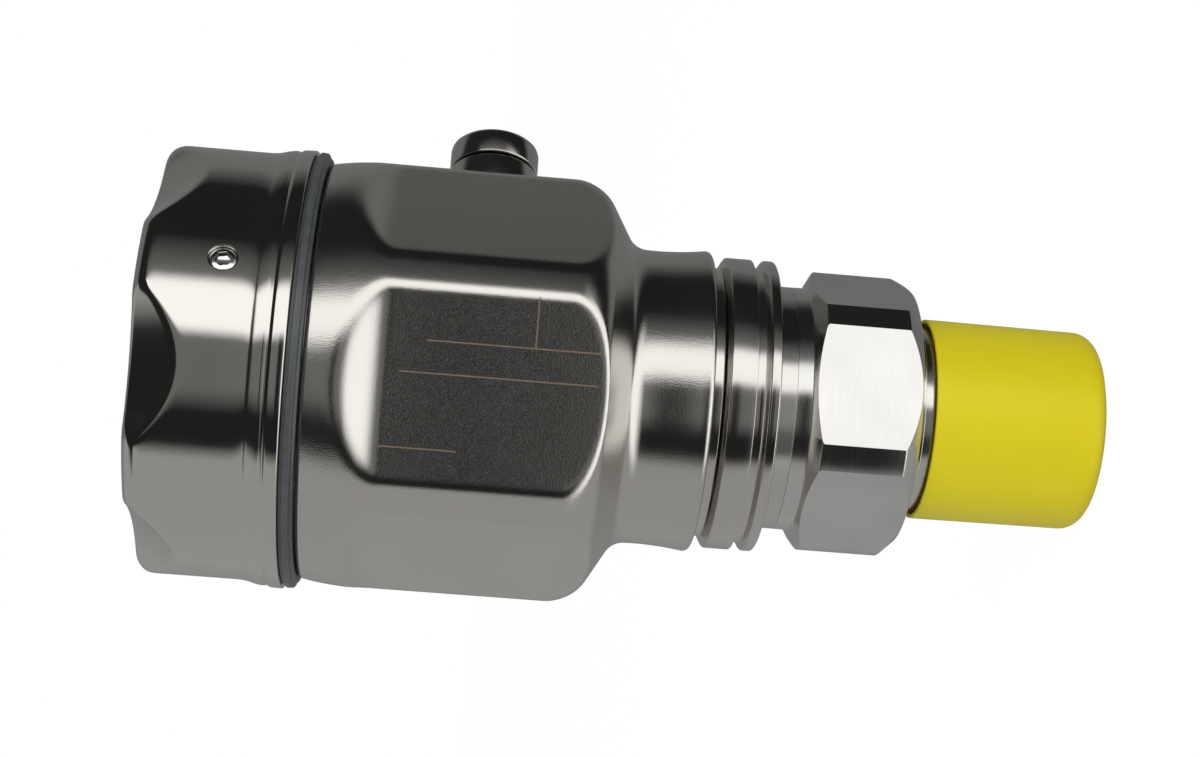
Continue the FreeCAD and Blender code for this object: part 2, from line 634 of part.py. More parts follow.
def make_mouth_collar():
    """Ring in the housing's mouth: thread for the cover outside, ledge for the electronics inside."""
    body = turned("mouth_collar", [
        ("insert_ledge_bore", "insert_ledge - ledge_thickness"),
        ("collar_foot_radius", "insert_ledge - ledge_thickness"),
        ("collar_foot_radius", "mouth_floor"),
        ("mouth_bore - collar_wall_gap", "mouth_floor"),
        ("mouth_bore - collar_wall_gap", "mouth_height"),
        ("cover_thread_radius", "mouth_height"),
        ("cover_thread_radius", "collar_top - 1"),
        ("cover_thread_radius - 1", "collar_top"),
        ("collar_bore", "collar_top"),
        ("collar_bore", "insert_ledge"),
        ("insert_ledge_bore", "insert_ledge"),
    ])
    for x_sign, y_sign in INSERT_SCREWS:
        hole(body, "XY_Plane", f"{x_sign} * screw_place", f"{y_sign} * screw_place",
             "screw_radius + screw_fit", "ledge_thickness + 1", height="insert_ledge")


def make_neck_set_screw():
    """Socket set screw that clamps the housing on the spigot."""
    body = turned("neck_set_screw", [
        ("0", "set_screw_tip"),
        ("set_screw_radius - 0.6", "set_screw_tip"),
        ("set_screw_radius", "set_screw_tip + 0.6"),
        ("set_screw_radius", "set_screw_end"),
        ("0", "set_screw_end"),
    ])
    socket(body, "set_screw_socket", "set_screw_socket_depth", "set_screw_end")
    point_outwards(body, "set_screw_height", "set_screw_azimuth")


def socket(body, across, depth, height):
    """A hexagon socket in the end of a screw along Z."""
    corner = f"{across} / 2 / cos(30)"
    half = f"{across} / 2"
    push(body, "Pocket", "XY_Plane", [
        (corner, "0.0"), (f"{corner} / 2", half), (f"-{corner} / 2", half),
        (f"-{corner}", "0.0"), (f"-{corner} / 2", f"-{half}"), (f"{corner} / 2", f"-{half}"),
    ], depth, height=height)


# ---------------------------------------------------------------- cover

def make_cover():
    """Screw cover with a rim, a rounded face and six hollow grip scoops."""
    body = turned("cover", [
        ("0", "skirt_bottom"),
        ("rim_radius - rim_edge", "skirt_bottom"),
        ("rim_radius", "skirt_bottom + rim_edge"),
        ("rim_top_radius", "rim_top"),
        ("rim_groove_radius", "rim_groove"),
        ("cover_radius", "cover_side_bottom"),
        ("cover_radius", "cover_top"),
        ("0", "cover_top"),
    ])
    soften(body, "cover_edge_round", is_ring(size("cover_radius"), size("cover_top")))
    cutter = body.newObject("PartDesign::SubtractiveCylinder", "cover_scoop")
    bind(cutter, Radius="scoop_radius", Height="2 * scoop_reach")
    tilt = FreeCAD.Rotation(FreeCAD.Vector(-1, 0, 0), 1)
    cutter.Placement = FreeCAD.Placement(FreeCAD.Vector(), tilt)
    cutter.setExpression("Placement.Rotation.Angle", formula("scoop_tilt"))
    cutter.setExpression("Placement.Base.y", formula(
        "-scoop_face_radius - scoop_radius * cos(scoop_tilt) - scoop_reach * sin(scoop_tilt)"))
    cutter.setExpression("Placement.Base.z", formula(
        "cover_top + scoop_radius * sin(scoop_tilt) - scoop_reach * cos(scoop_tilt)"))
    around(body, cutter, "scoop_count")
    soften(body, "scoop_edge_round", is_scoop_edge)
    spin(body, "Groove", [
        ("0", "skirt_bottom - 1"),
        ("skirt_bore", "skirt_bottom - 1"),
        ("skirt_bore", "cover_cavity_shoulder"),
        ("cover_cavity_radius", "cover_cavity_top"),
        ("0", "cover_cavity_top"),
    ])
    sketch_turn = "lock_turn - 90"
    drill_outwards(body, sketch_turn, "lock_height", "lock_radius + lock_fit")


def is_scoop_edge(edge):
    """A test for the edges round the cover's scoops."""
    middle = edge.valueAt((edge.FirstParameter + edge.LastParameter) / 2)
    inside_face = math.hypot(middle.x, middle.y) < size("cover_radius") - size("cover_edge_round") - 0.05
    return middle.z > size("rim_top") + 3 and not is_whole_ring(edge) or \
        (inside_face and abs(middle.z - size("cover_top")) < 1e-3 and not is_whole_ring(edge))


def make_cover_lock_screw():
    """Small socket screw in the cover's side that locks it on its thread."""
    outer = "cover_radius - lock_sunk"
    body = turned("cover_lock_screw", [
        ("0", f"{outer} - lock_length"),
        ("lock_radius - 0.5", f"{outer} - lock_length"),
        ("lock_radius", f"{outer} - lock_length + 0.5"),
        ("lock_radius", outer),
        ("0", outer),
    ])
    socket(body, "lock_socket", "lock_socket_depth", outer)
    turn = FreeCAD.Rotation(UP, size("lock_turn") - 90)
    body.Placement = FreeCAD.Placement(FreeCAD.Vector(), turn.multiply(
        FreeCAD.Rotation(FreeCAD.Vector(0, 1, 0), 90)))
    body.setExpression("Placement.Base.z", formula("lock_height"))


def make_cover_seal():
    """Rubber ring between the cover's rim and the housing's mouth."""
    turned("cover_seal", [
        ("skirt_bore", "seal_bottom"),
        ("seal_radius - seal_round", "seal_bottom"),
        ("seal_radius", "seal_bottom + seal_round"),
        ("seal_radius", "seal_top - seal_round"),
        ("seal_radius - seal_round", "seal_top"),
        ("skirt_bore", "seal_top"),
    ])


# ---------------------------------------------------------------- electronics

INSERT_SCREWS = [(-1, -1), (1, -1), (-1, 1), (1, 1)]


def place(thing, **where):
    """Ties a placement's base to formulas."""
    for direction, text in where.items():
        thing.setExpression(f"Placement.Base.{direction}", formula(text))
    return thing


def box(name, length, width, height):
    """A Part box with formulas for its three sides."""
    made = document.addObject("Part::Box", name)
    made.Label = name
    return bind(made, Length=length, Width=width, Height=height)


def make_electronics_insert():
    """Potted block that hangs in the mouth, with a window for the board and a cable passage."""
    body = turned("electronics_insert", [
        ("0", "INSERT_BOTTOM"),
        ("insert_radius - 2", "INSERT_BOTTOM"),
        ("insert_radius", "INSERT_BOTTOM + 2"),
        ("insert_radius", "(insert_ledge + flange_seat)"),
        ("flange_radius", "(insert_ledge + flange_seat)"),
        ("flange_radius", "FLANGE_TOP"),
        ("0", "FLANGE_TOP"),
    ])
    push(body, "Pocket", "XY_Plane", rectangle(
        "-passage_width / 2", "passage_width / 2", "passage_depth", "flange_radius + 2"),
        "FLANGE_TOP + 1 - INSERT_BOTTOM + 1", height="FLANGE_TOP + 1")
    hole(body, "XY_Plane", "0.0", "0.0", "cable_radius + running_gap", "cable_entry",
         height="INSERT_BOTTOM", backwards=True)
    push(body, "Pocket", "XY_Plane", rectangle(
        "-board_length / 2 - board_fit", "board_length / 2 + board_fit",
        "board_back - board_width / 2 - board_fit", "board_back + board_width / 2 + board_fit"),
        "board_sunk", height="FLANGE_TOP")
    for x_sign, y_sign in INSERT_SCREWS:
        hole(body, "XY_Plane", f"{x_sign} * screw_place", f"{y_sign} * screw_place",
             "screw_radius + screw_fit", "flange_thickness + 1", height="FLANGE_TOP")
    for x_sign in (-1, 1):
        hole(body, "XY_Plane", f"{x_sign} * button_spacing / 2", "button_back",
             "button_radius + button_fit", "button_sunk + button_travel + running_gap",
             height="FLANGE_TOP")
    hole(body, "XY_Plane", "ground_place", "ground_back", "ground_radius + screw_fit", "5",
         height="FLANGE_TOP")


def slotted_screw(name, length, thread, head, rise, place_x, place_y, seat):
    """A screw with a straight driver slot, under its head along Z."""
    body = turned(name, [
        ("0", f"{seat} - ({length})"),
        (thread, f"{seat} - ({length})"),
        (thread, seat),
        (head, seat),
        (head, f"{seat} + {rise} - 0.3"),
        (f"{head} - 0.3", f"{seat} + {rise}"),
        ("0", f"{seat} + {rise}"),
    ])
    push(body, "Pocket", "XY_Plane", rectangle(
        f"-{head} - 1", f"{head} + 1", "-slot_width / 2", "slot_width / 2"),
        "slot_depth", height=f"{seat} + {rise}")
    place(body, x=place_x, y=place_y)
    return body


def gather(name, bodies):
    """Equal fasteners that share one node."""
    group = document.addObject("Part::Compound", name)
    group.Label = name
    group.Links = bodies
    return group


def make_insert_screws():
    """Four screws through the insert's flange."""
    screws = []
    for number, (x_sign, y_sign) in enumerate(INSERT_SCREWS, start=1):
        screws.append(slotted_screw(
            f"insert_screw_{number}", "screw_length", "screw_radius", "screw_head_radius",
            "screw_head_height", f"{x_sign} * screw_place", f"{y_sign} * screw_place", "FLANGE_TOP"))
    gather("insert_screws", screws)


def make_circuit_board():
    """Board in the insert's window, with the switch block and the light on it."""
    board = box("circuit_board", "board_length", "board_width", "board_thickness")
    place(board, x="-board_length / 2", y="board_back - board_width / 2",
          z="FLANGE_TOP - board_sunk")
    top = "FLANGE_TOP - board_sunk + board_thickness"
    block = new_body("switch_block")
    length = "(switch_count * switch_pitch + 1.4)"
    push(block, "Pad", "XY_Plane", rectangle(
        f"switch_left - {length} / 2", f"switch_left + {length} / 2",
        "board_back - switch_width / 2", "board_back + switch_width / 2"),
        "switch_height", height=top)
    for number in range(1, 6):
        middle = f"(switch_left + ({number} - (switch_count + 1) / 2) * switch_pitch)"
        push(block, "Pocket", "XY_Plane", rectangle(
            f"{middle} - switch_slot / 2", f"{middle} + switch_slot / 2",
            "board_back - switch_slot_length / 2", "board_back + switch_slot_length / 2"),
            "switch_slot_depth", height=f"{top} + switch_height")
        slider = box(f"switch_slider_{number}", "slider_width", "slider_length", "slider_height")
        place(slider, x=f"{middle} - slider_width / 2",
              y="board_back - slider_travel / 2 - slider_length / 2",
              z=f"{top} + switch_height - switch_slot_depth + slider_lift")
    turned("status_light", [
        ("0", top), ("led_radius", top), ("led_radius", f"{top} + led_height - 0.6"),
        ("led_radius - 0.6", f"{top} + led_height"), ("0", f"{top} + led_height"),
    ])
    place(document.getObject("status_light"), x="led_place", y="board_back")


def make_buttons():
    """Two push buttons for zero and span."""
    for name, sign in (("zero_button", "-1"), ("span_button", "1")):
        button = turned(name, [
            ("0", "FLANGE_TOP - button_sunk"),
            ("button_radius", "FLANGE_TOP - button_sunk"),
            ("button_radius", "FLANGE_TOP + button_height - 0.5"),
            ("button_radius - 0.5", "FLANGE_TOP + button_height"),
            ("0", "FLANGE_TOP + button_height"),
        ])
        place(button, x=f"{sign} * button_spacing / 2", y="button_back")


def make_terminals():
    """Terminal block for the supply and signal wires, and its screws."""
    top = "(FLANGE_TOP + terminal_height)"
    block = new_body("terminal_block")
    push(block, "Pad", "XY_Plane", rectangle(
        "-terminal_length / 2", "terminal_length / 2",
        "terminal_back - terminal_width / 2", "terminal_back + terminal_width / 2"),
        "terminal_height", height="FLANGE_TOP")
    screws = []
    for number in range(1, 4):
        middle = f"(({number} - (terminal_count + 1) / 2) * terminal_pitch)"
        push(block, "Pocket", "XZ_Plane", rectangle(
            f"{middle} - wire_mouth_width / 2", f"{middle} + wire_mouth_width / 2",
            "FLANGE_TOP + 1.2", "FLANGE_TOP + 1.2 + wire_mouth_height"),
            "wire_mouth_depth", height="-terminal_back - terminal_width / 2", backwards=True)
        hole(block, "XY_Plane", middle, "terminal_back", "terminal_screw_radius + screw_fit",
             "terminal_screw_depth", height=top)
        screw = turned(f"terminal_screw_{number}", [
            ("0", f"{top} - terminal_screw_depth"),
            ("terminal_screw_radius", f"{top} - terminal_screw_depth"),
            ("terminal_screw_radius", f"{top} - 0.6"),
            ("0", f"{top} - 0.6"),
        ])
        push(screw, "Pocket", "XY_Plane", rectangle(
            "-terminal_screw_radius - 1", "terminal_screw_radius + 1",
            "-slot_width / 2", "slot_width / 2"), "slot_depth", height=f"{top} - 0.6")
        place(screw, x=middle, y="terminal_back")
        screws.append(screw)
    gather("terminal_screws", screws)


def make_ground_terminal():
    """Ground screw with its washer on the insert's flange."""
    turned("ground_washer", [
        ("ground_radius + screw_fit", "FLANGE_TOP"),
        ("washer_radius", "FLANGE_TOP"),
        ("washer_radius", "FLANGE_TOP + washer_height"),
        ("ground_radius + screw_fit", "FLANGE_TOP + washer_height"),
    ])
    place(document.getObject("ground_washer"), x="ground_place", y="ground_back")
    slotted_screw("ground_screw", "4", "ground_radius", "ground_radius + 1.2", "1.8",
                  "ground_place", "ground_back", "FLANGE_TOP + washer_height")


# ---------------------------------------------------------------- cable gland and vent

def make_gland():
    """Socket welded to the rear flat, and the gland screwed into it, made along Z."""
    seat = "(socket_end + gland_ring_height)"
    nut_start = f"({seat} + gland_hex_height + nut_gap)"
    body_end = f"({nut_start} + gland_thread_length)"
    nut_end = f"({nut_start} + nut_length)"
    sleeve_start = f"({body_end} - gland_cup_depth)"
    pieces = [turned("gland_socket", [
        ("socket_bore", "flat_distance - drawn_wall"),
        ("socket_spigot", "flat_distance - drawn_wall"),
        ("socket_spigot", "flat_distance"),
        ("socket_radius", "flat_distance"),
        ("socket_radius", "socket_end"),
        ("socket_bore", "socket_end"),
    ])]
    pieces.append(turned("gland_ring", [
        ("gland_ring_inner", "socket_end"),
        ("gland_ring_outer - 0.4", "socket_end"),
        ("gland_ring_outer", "socket_end + 0.4"),
        ("gland_ring_outer", f"{seat} - 0.4"),
        ("gland_ring_outer - 0.4", seat),
        ("gland_ring_inner", seat),
    ]))
    corner = "gland_hex / 2 / cos(30)"
    gland = turned("gland_body", [
        ("gland_bore", "stem_start"),
        ("gland_stem", "stem_start"),
        ("gland_stem", seat),
        (corner, seat),
        (corner, f"{seat} + gland_hex_height"),
        ("gland_thread", f"{seat} + gland_hex_height"),
        ("gland_thread", body_end),
        ("gland_cup", body_end),
        ("gland_cup", sleeve_start),
        ("gland_bore", sleeve_start),
    ])
    hexagon_cut(gland, "gland_hex", f"{seat} - 1", f"{seat} + gland_hex_height + 0.01",
                "(gland_hex / 2 / cos(30) + 2)")
    pieces.append(gland)
    pieces.append(turned("gland_sleeve", [
        ("sleeve_bore", sleeve_start),
        ("sleeve_radius", sleeve_start),
        ("sleeve_radius", f"{sleeve_start} + sleeve_length - 2"),
        ("sleeve_radius - 1", f"{sleeve_start} + sleeve_length"),
        ("sleeve_bore", f"{sleeve_start} + sleeve_length"),
    ]))
    nut = turned("gland_nut", [
        ("nut_bore", nut_start),
        (corner, nut_start),
        (corner, f"{nut_end} - nut_dome_height"),
        ("nut_dome", nut_end),
        ("nut_mouth", nut_end),
        ("nut_mouth", f"{nut_end} - nut_roof"),
        ("sleeve_radius - 1 + sleeve_gap", f"{nut_end} - nut_roof"),
        ("sleeve_radius + sleeve_gap", f"{sleeve_start} + sleeve_length - 2 + sleeve_gap"),
        ("nut_bore", f"{body_end} + sleeve_gap"),
    ])
    hexagon_cut(nut, "gland_hex", f"{nut_start} - 1", f"{nut_end} + 1",
                "(gland_hex / 2 / cos(30) + 2)")
    pieces.append(nut)
    for piece in pieces:
        point_outwards(piece, "entry_height", "gland_azimuth")


def make_vent():
    """Nozzle in the upper rear flat, with a filter disc under a snapped-on cap, made along Z."""
    filter_seat = "vent_stem_end"
    pieces = [turned("vent_nozzle", [
        ("vent_bore", "flat_distance - drawn_wall"),
        ("vent_spigot", "flat_distance - drawn_wall"),
        ("vent_spigot", "flat_distance"),
        ("vent_radius", "flat_distance"),
        ("vent_radius", "vent_joint"),
        ("vent_stem", "vent_joint"),
        ("vent_stem", filter_seat),
        ("vent_bore", filter_seat),
    ])]
    pieces.append(turned("vent_ring", [
        ("vent_bore + 1", filter_seat),
        ("filter_radius", filter_seat),
        ("filter_radius", f"{filter_seat} + vent_ring_thickness"),
        ("vent_bore + 1", f"{filter_seat} + vent_ring_thickness"),
    ]))
    pieces.append(turned("vent_filter", [
        ("0", f"{filter_seat} + vent_ring_thickness"),
        ("filter_radius", f"{filter_seat} + vent_ring_thickness"),
        ("filter_radius", f"{filter_seat} + vent_ring_thickness + filter_thickness"),
        ("0", f"{filter_seat} + vent_ring_thickness + filter_thickness"),
    ]))
    cap = turned("vent_cap", [
        ("0", "vent_end - vent_cap_roof"),
        ("vent_cap_bore", "vent_end - vent_cap_roof"),
        ("vent_cap_bore", "vent_joint + vent_gap"),
        ("vent_radius", "vent_joint + vent_gap"),
        ("vent_radius", "vent_end"),
        ("0", "vent_end"),
    ])
    soften(cap, "vent_edge", is_ring(size("vent_radius"), size("vent_end")))
    pieces.append(cap)
    for piece in pieces:
        point_outwards(piece, "entry_height", "vent_azimuth")


def make_protective_cap():
    """Plastic cap pushed over the thread; the object stands on its flat end."""
    body = turned("protective_cap", [
        ("0", "cap_end"),
        ("cap_end_radius", "cap_end"),
        ("cap_open_radius", "cap_open_end"),
        ("cap_bore", "cap_open_end"),
        ("cap_bore", "cap_end + cap_floor + cap_inner_round"),
        ("cap_bore - cap_inner_round", "cap_end + cap_floor"),
        ("0", "cap_end + cap_floor"),
    ])
    soften(body, "cap_end_round", is_ring(size("cap_end_radius"), size("cap_end")))


PIECES = [
    make_process_connection, make_sensor_neck, make_neck_o_ring, make_measuring_cell, make_housing,
    make_mouth_collar, make_cover, make_cover_lock_screw, make_cover_seal, make_neck_set_screw,
    make_electronics_insert, make_insert_screws, make_circuit_board, make_buttons, make_terminals,
    make_ground_terminal, make_gland, make_vent, make_protective_cap,
]

FILES = [
    "process_connection", "sensor_neck", "neck_o_ring", "isolating_membrane", "measuring_cell",
    "cell_leads", "sensor_module", "sensor_cable", "housing", "mouth_collar", "cover",
    "cover_lock_screw", "cover_seal", "neck_set_screw", "electronics_insert", "insert_screws",
    "circuit_board", "switch_block", "switch_slider_1", "switch_slider_2", "switch_slider_3",
    "switch_slider_4", "switch_slider_5", "status_light", "zero_button", "span_button",
    "terminal_block", "terminal_screws", "ground_washer", "ground_screw", "gland_socket",
    "gland_ring", "gland_body", "gland_sleeve", "gland_nut", "vent_nozzle", "vent_ring",
    "vent_filter", "vent_cap", "protective_cap",
]

for make in PIECES:
    make()
document.recompute()

for item in document.Objects:
    if "Invalid" in item.State or "Error" in item.State:
        raise RuntimeError(item.Name + " did not compute")
os.makedirs("parts", exist_ok=True)
for label in FILES:
    piece = document.getObjectsByLabel(label)[0]
    if piece.Shape.isNull() or not piece.Shape.isValid():
        raise RuntimeError(label + " has no valid shape")
    piece.Shape.exportStep(f"parts/{label}.step")
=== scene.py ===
import json
import math

import bpy
from mathutils import Matrix, Vector


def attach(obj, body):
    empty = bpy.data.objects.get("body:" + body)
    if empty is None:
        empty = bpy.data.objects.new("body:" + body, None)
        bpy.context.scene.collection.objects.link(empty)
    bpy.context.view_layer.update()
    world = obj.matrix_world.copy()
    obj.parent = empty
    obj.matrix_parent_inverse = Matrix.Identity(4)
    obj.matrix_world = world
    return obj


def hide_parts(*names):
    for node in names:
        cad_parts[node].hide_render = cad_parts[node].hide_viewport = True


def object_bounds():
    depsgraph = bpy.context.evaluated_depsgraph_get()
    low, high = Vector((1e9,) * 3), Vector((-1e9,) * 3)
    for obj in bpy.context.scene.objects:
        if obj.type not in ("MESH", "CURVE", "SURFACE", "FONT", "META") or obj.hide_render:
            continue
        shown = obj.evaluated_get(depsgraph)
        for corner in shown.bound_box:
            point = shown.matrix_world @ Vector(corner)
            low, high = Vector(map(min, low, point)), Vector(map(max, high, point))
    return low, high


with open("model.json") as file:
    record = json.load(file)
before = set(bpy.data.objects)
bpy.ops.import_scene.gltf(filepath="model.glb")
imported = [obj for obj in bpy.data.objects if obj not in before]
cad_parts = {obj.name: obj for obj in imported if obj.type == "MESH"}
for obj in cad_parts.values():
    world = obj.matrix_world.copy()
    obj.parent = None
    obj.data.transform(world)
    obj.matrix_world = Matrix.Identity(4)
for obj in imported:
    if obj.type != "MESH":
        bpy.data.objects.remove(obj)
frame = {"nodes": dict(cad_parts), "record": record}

cad_low, cad_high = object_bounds()
MM = 0.001

# Pressure transmitter in stainless steel: a screw cover with grip scoops on a drawn housing with
# six flats, two rings, a hexagon, and a yellow cap over the thread. Heights count from the sealing
# face under the hexagon, radii from the main axis, both in millimetres, as the solids have them.

ENTRY_HEIGHT = 75.9           # cable gland and vent
FLAT_DISTANCE = 33.5          # axis to each flat of the housing
FLAT_TOP = 93.2               # where a flat starts to run out
FLAT_CORNER = 2.5             # how far above and below that place the corner is rounded
FLAT_END = 102.8              # where it has run out
FLAT_RISE = 4.8               # how far it comes outwards on the way
FLAT_EDGE = 0.6               # depth over which a flat's long edges are rounded
RUN_OUT_EDGE = 1.6            # the same at its run-out
RUN_OUT_EDGE_FROM = 90.0      # heights between which one grows into the other
RUN_OUT_EDGE_TO = 97.0
SCOOP_FACE = 31.0             # axis to a scoop's deepest place, in the cover's face
SCOOP_TILT = math.radians(36.6)
SCOOP_RADIUS = 42.0
SCOOP_EDGE = 0.8              # depth over which a scoop's edges are rounded
TOOL_REACH = 20.0             # no flat or scoop comes nearer to the axis than this
COVER_TOP = 131.7
HEX_ACROSS = 45.0
HEX_TURN = 13.6
GLAND_ACROSS = 24.0           # wrench size of the gland's hexagons
PROCESS_THREAD = (16.62, 15.12, 2.309)      # crest, root and pitch of G 1
PROCESS_THREAD_LEAD = -28.7   # below this the thread tapers off
MOUTH_THREAD = (34.42, 34.05, 2.0167)       # the cover's thread, as low ridges on the collar
PLATE_RULES = [               # across and along the front flat, each from and to
    ((7.15, 7.4), (56.5, 84.5)), ((7.15, 17.0), (66.9, 67.15)), ((1.9, 2.15), (56.5, 88.5)),
    ((-10.3, -10.05), (78.5, 91.0)),
]
LOCK_HEIGHT = 117.8           # cover's lock screw
LOCK_TURN = 28.6


# ------------------------------------------------------------------ modelling

def pick_only(thing):
    """Leaves one object selected and active."""
    for other in bpy.context.selected_objects:
        other.select_set(False)
    thing.select_set(True)
    bpy.context.view_layer.objects.active = thing


def select_points(thing, wanted):
    """In edit mode, selects the points that the test picks."""
    bpy.ops.mesh.select_all(action="DESELECT")
    bpy.ops.object.mode_set(mode="OBJECT")
    for point in thing.data.vertices:
        point.select = bool(wanted(point.co))
    bpy.ops.object.mode_set(mode="EDIT")


def turn_on_lathe(name, corners, steps=192, grain=None, where=None):
    """Draws half a section from (radius, height, rounding) corners and spins it round the axis.

    With a grain, the section's long edges are divided where the surface gets hollows later.
    """
    bpy.ops.mesh.primitive_plane_add(size=MM)
    thing = bpy.context.active_object
    thing.name = thing.data.name = name
    pick_only(thing)
    bpy.ops.object.mode_set(mode="EDIT")
    bpy.ops.mesh.select_mode(type="VERT")
    bpy.ops.mesh.select_all(action="SELECT")
    bpy.ops.mesh.merge(type="CENTER")
    places = [Vector((corner[0] * MM, 0, corner[1] * MM)) for corner in corners]
    bpy.ops.transform.translate(value=places[0])
    for before, after in zip(places, places[1:]):
        bpy.ops.mesh.extrude_vertices_move(TRANSFORM_OT_translate={"value": after - before})
    for corner, place in zip(corners, places):
        if len(corner) > 2:
            bpy.ops.mesh.select_mode(type="VERT")
            select_points(thing, lambda co: (co - place).length < 1e-6)
            bpy.ops.mesh.bevel(offset=corner[2] * MM, segments=max(3, round(corner[2] * 2.2)),
                               affect="VERTICES")
    if grain:
        divide_long_edges(thing, grain * MM, where or (lambda middle: True))
    bpy.ops.mesh.select_all(action="SELECT")
    bpy.ops.mesh.spin(steps=steps, angle=2 * math.pi, center=(0, 0, 0), axis=(0, 0, 1),
                      use_auto_merge=True)
    bpy.ops.mesh.select_all(action="SELECT")
    bpy.ops.mesh.remove_doubles(threshold=2e-6)
    bpy.ops.mesh.normals_make_consistent(inside=False)
    bpy.ops.object.mode_set(mode="OBJECT")
    return thing


def divide_long_edges(thing, grain, where):
    """In edit mode, divides each edge of a section that is longer than the grain."""
    bpy.ops.mesh.select_mode(type="EDGE")
    while True:
        bpy.ops.object.mode_set(mode="OBJECT")
        points = thing.data.vertices
        longest = 0
        for edge in thing.data.edges:
            ends = [points[end].co for end in edge.vertices]
            length = (ends[0] - ends[1]).length if where((ends[0] + ends[1]) / 2 / MM) else 0
            edge.select = length > grain * 1.5
            longest = max(longest, length)
        for point in points:
            point.select = False
        bpy.ops.object.mode_set(mode="EDIT")
        if longest <= grain * 1.5:
            break
        bpy.ops.mesh.subdivide(number_cuts=1)
    bpy.ops.mesh.select_mode(type="VERT")


def apply_all(thing):
    """Applies every modifier of a piece."""
    pick_only(thing)
    for modifier in list(thing.modifiers):
        bpy.ops.object.modifier_apply(modifier=modifier.name)


def cut(thing, tool, operation="DIFFERENCE"):
    """Cuts a piece with a tool, and throws the tool away."""
    modifier = thing.modifiers.new("cut", "BOOLEAN")
    modifier.operation = operation
    modifier.object = tool
    modifier.solver = "EXACT"
    apply_all(thing)
    bpy.data.objects.remove(tool)


def prism(sides, across, low, high, turn=0.0):
    """A straight prism round the axis, as a milling tool. A flat faces the front when turn is 0."""
    radius = across / 2 / math.cos(math.pi / sides)
    bpy.ops.mesh.primitive_cylinder_add(vertices=sides, radius=radius * MM, depth=(high - low) * MM,
                                        location=(0, 0, (low + high) / 2 * MM))
    tool = bpy.context.active_object
    tool.rotation_euler = (0, 0, math.radians(turn + 180 / sides))
    pick_only(tool)
    bpy.ops.object.transform_apply(location=True, rotation=True, scale=True)
    return tool


def ease_edges(thing, width):
    """Breaks the sharp edges of a milled piece."""
    modifier = thing.modifiers.new("eased", "BEVEL")
    modifier.width = width * MM
    modifier.segments = 2
    modifier.limit_method = "ANGLE"
    modifier.angle_limit = math.radians(24)
    modifier.use_clamp_overlap = True
    apply_all(thing)


def smooth(thing, angle):
    """Shades a piece smooth, up to a crease of this angle."""
    pick_only(thing)
    bpy.ops.object.shade_smooth_by_angle(angle=math.radians(angle))


def soften(value, width):
    """The value where it's above nothing and zero below, with a corner rounded over the width."""
    if value < -width:
        return 0.0
    return max(value, (min(value, width) + width) ** 2 / (4 * width))


def push_in(thing, count, depth_of, direction_of, softness_of):
    """Presses or mills the same hollow into a turned piece, count times round its axis.

    depth_of says how far a point stands out of the hollow's surface, direction_of the way out
    of it, and softness_of the depth over which the surface runs into the hollow there.
    """
    for turn in range(count):
        away = Matrix.Rotation(-turn * 2 * math.pi / count, 3, "Z")
        back = away.inverted()
        for point in thing.data.vertices:
            place = away @ point.co
            if place.y > -TOOL_REACH * MM:
                continue
            moved = soften(depth_of(place), softness_of(place))
            if moved:
                point.co = back @ (place - direction_of(place) * moved)


def aim(thing, height, degrees):
    """Lays a piece made along the axis outwards, at a height, degrees round from the right."""
    pick_only(thing)
    thing.rotation_euler = (0, math.radians(90), math.radians(degrees))
    thing.location = (0, 0, height * MM)
    bpy.ops.object.transform_apply(location=True, rotation=True, scale=True)


def lay_thread(name, crest, root, pitch, low, high, steps=96):
    """A screw thread on the axis, one turn of its section carried up by the Screw modifier."""
    bpy.ops.mesh.primitive_plane_add(size=MM)
    thing = bpy.context.active_object
    thing.name = thing.data.name = name
    pick_only(thing)
    bpy.ops.object.mode_set(mode="EDIT")
    bpy.ops.mesh.select_mode(type="VERT")
    bpy.ops.mesh.select_all(action="SELECT")
    bpy.ops.mesh.merge(type="CENTER")
    corners = [(root, 0), (root, 0.1), (crest, 0.44), (crest, 0.56), (root, 0.9), (root, 1)]
    places = [Vector((radius * MM, 0, (low + share * pitch) * MM)) for radius, share in corners]
    bpy.ops.transform.translate(value=places[0])
    for before, after in zip(places, places[1:]):
        bpy.ops.mesh.extrude_vertices_move(TRANSFORM_OT_translate={"value": after - before})
    bpy.ops.object.mode_set(mode="OBJECT")
    modifier = thing.modifiers.new("turns", "SCREW")
    modifier.axis = "Z"
    modifier.screw_offset = pitch * MM
    modifier.iterations = int((high - low) / pitch)
    modifier.steps = modifier.render_steps = steps
    modifier.use_merge_vertices = True
    modifier.merge_threshold = 1e-6
    apply_all(thing)
    return thing


# ------------------------------------------------------------------ finishes

def hue(text):
    """Turns an sRGB hex colour into linear values."""
    parts = [int(text[place:place + 2], 16) / 255 for place in (1, 3, 5)]
    return [part / 12.92 if part < 0.04045 else ((part + 0.055) / 1.055) ** 2.4
            for part in parts] + [1.0]


def add(tree, kind, inputs=None, **settings):
    """Adds a node, sets it up, and fills or links its sockets."""
    made = tree.nodes.new(kind)
    for name, value in settings.items():
        setattr(made, name, value)
    for socket, value in (inputs or {}).items():
        if isinstance(value, bpy.types.NodeSocket):
            tree.links.new(value, made.inputs[socket])
        else:
            made.inputs[socket].default_value = value
    return made


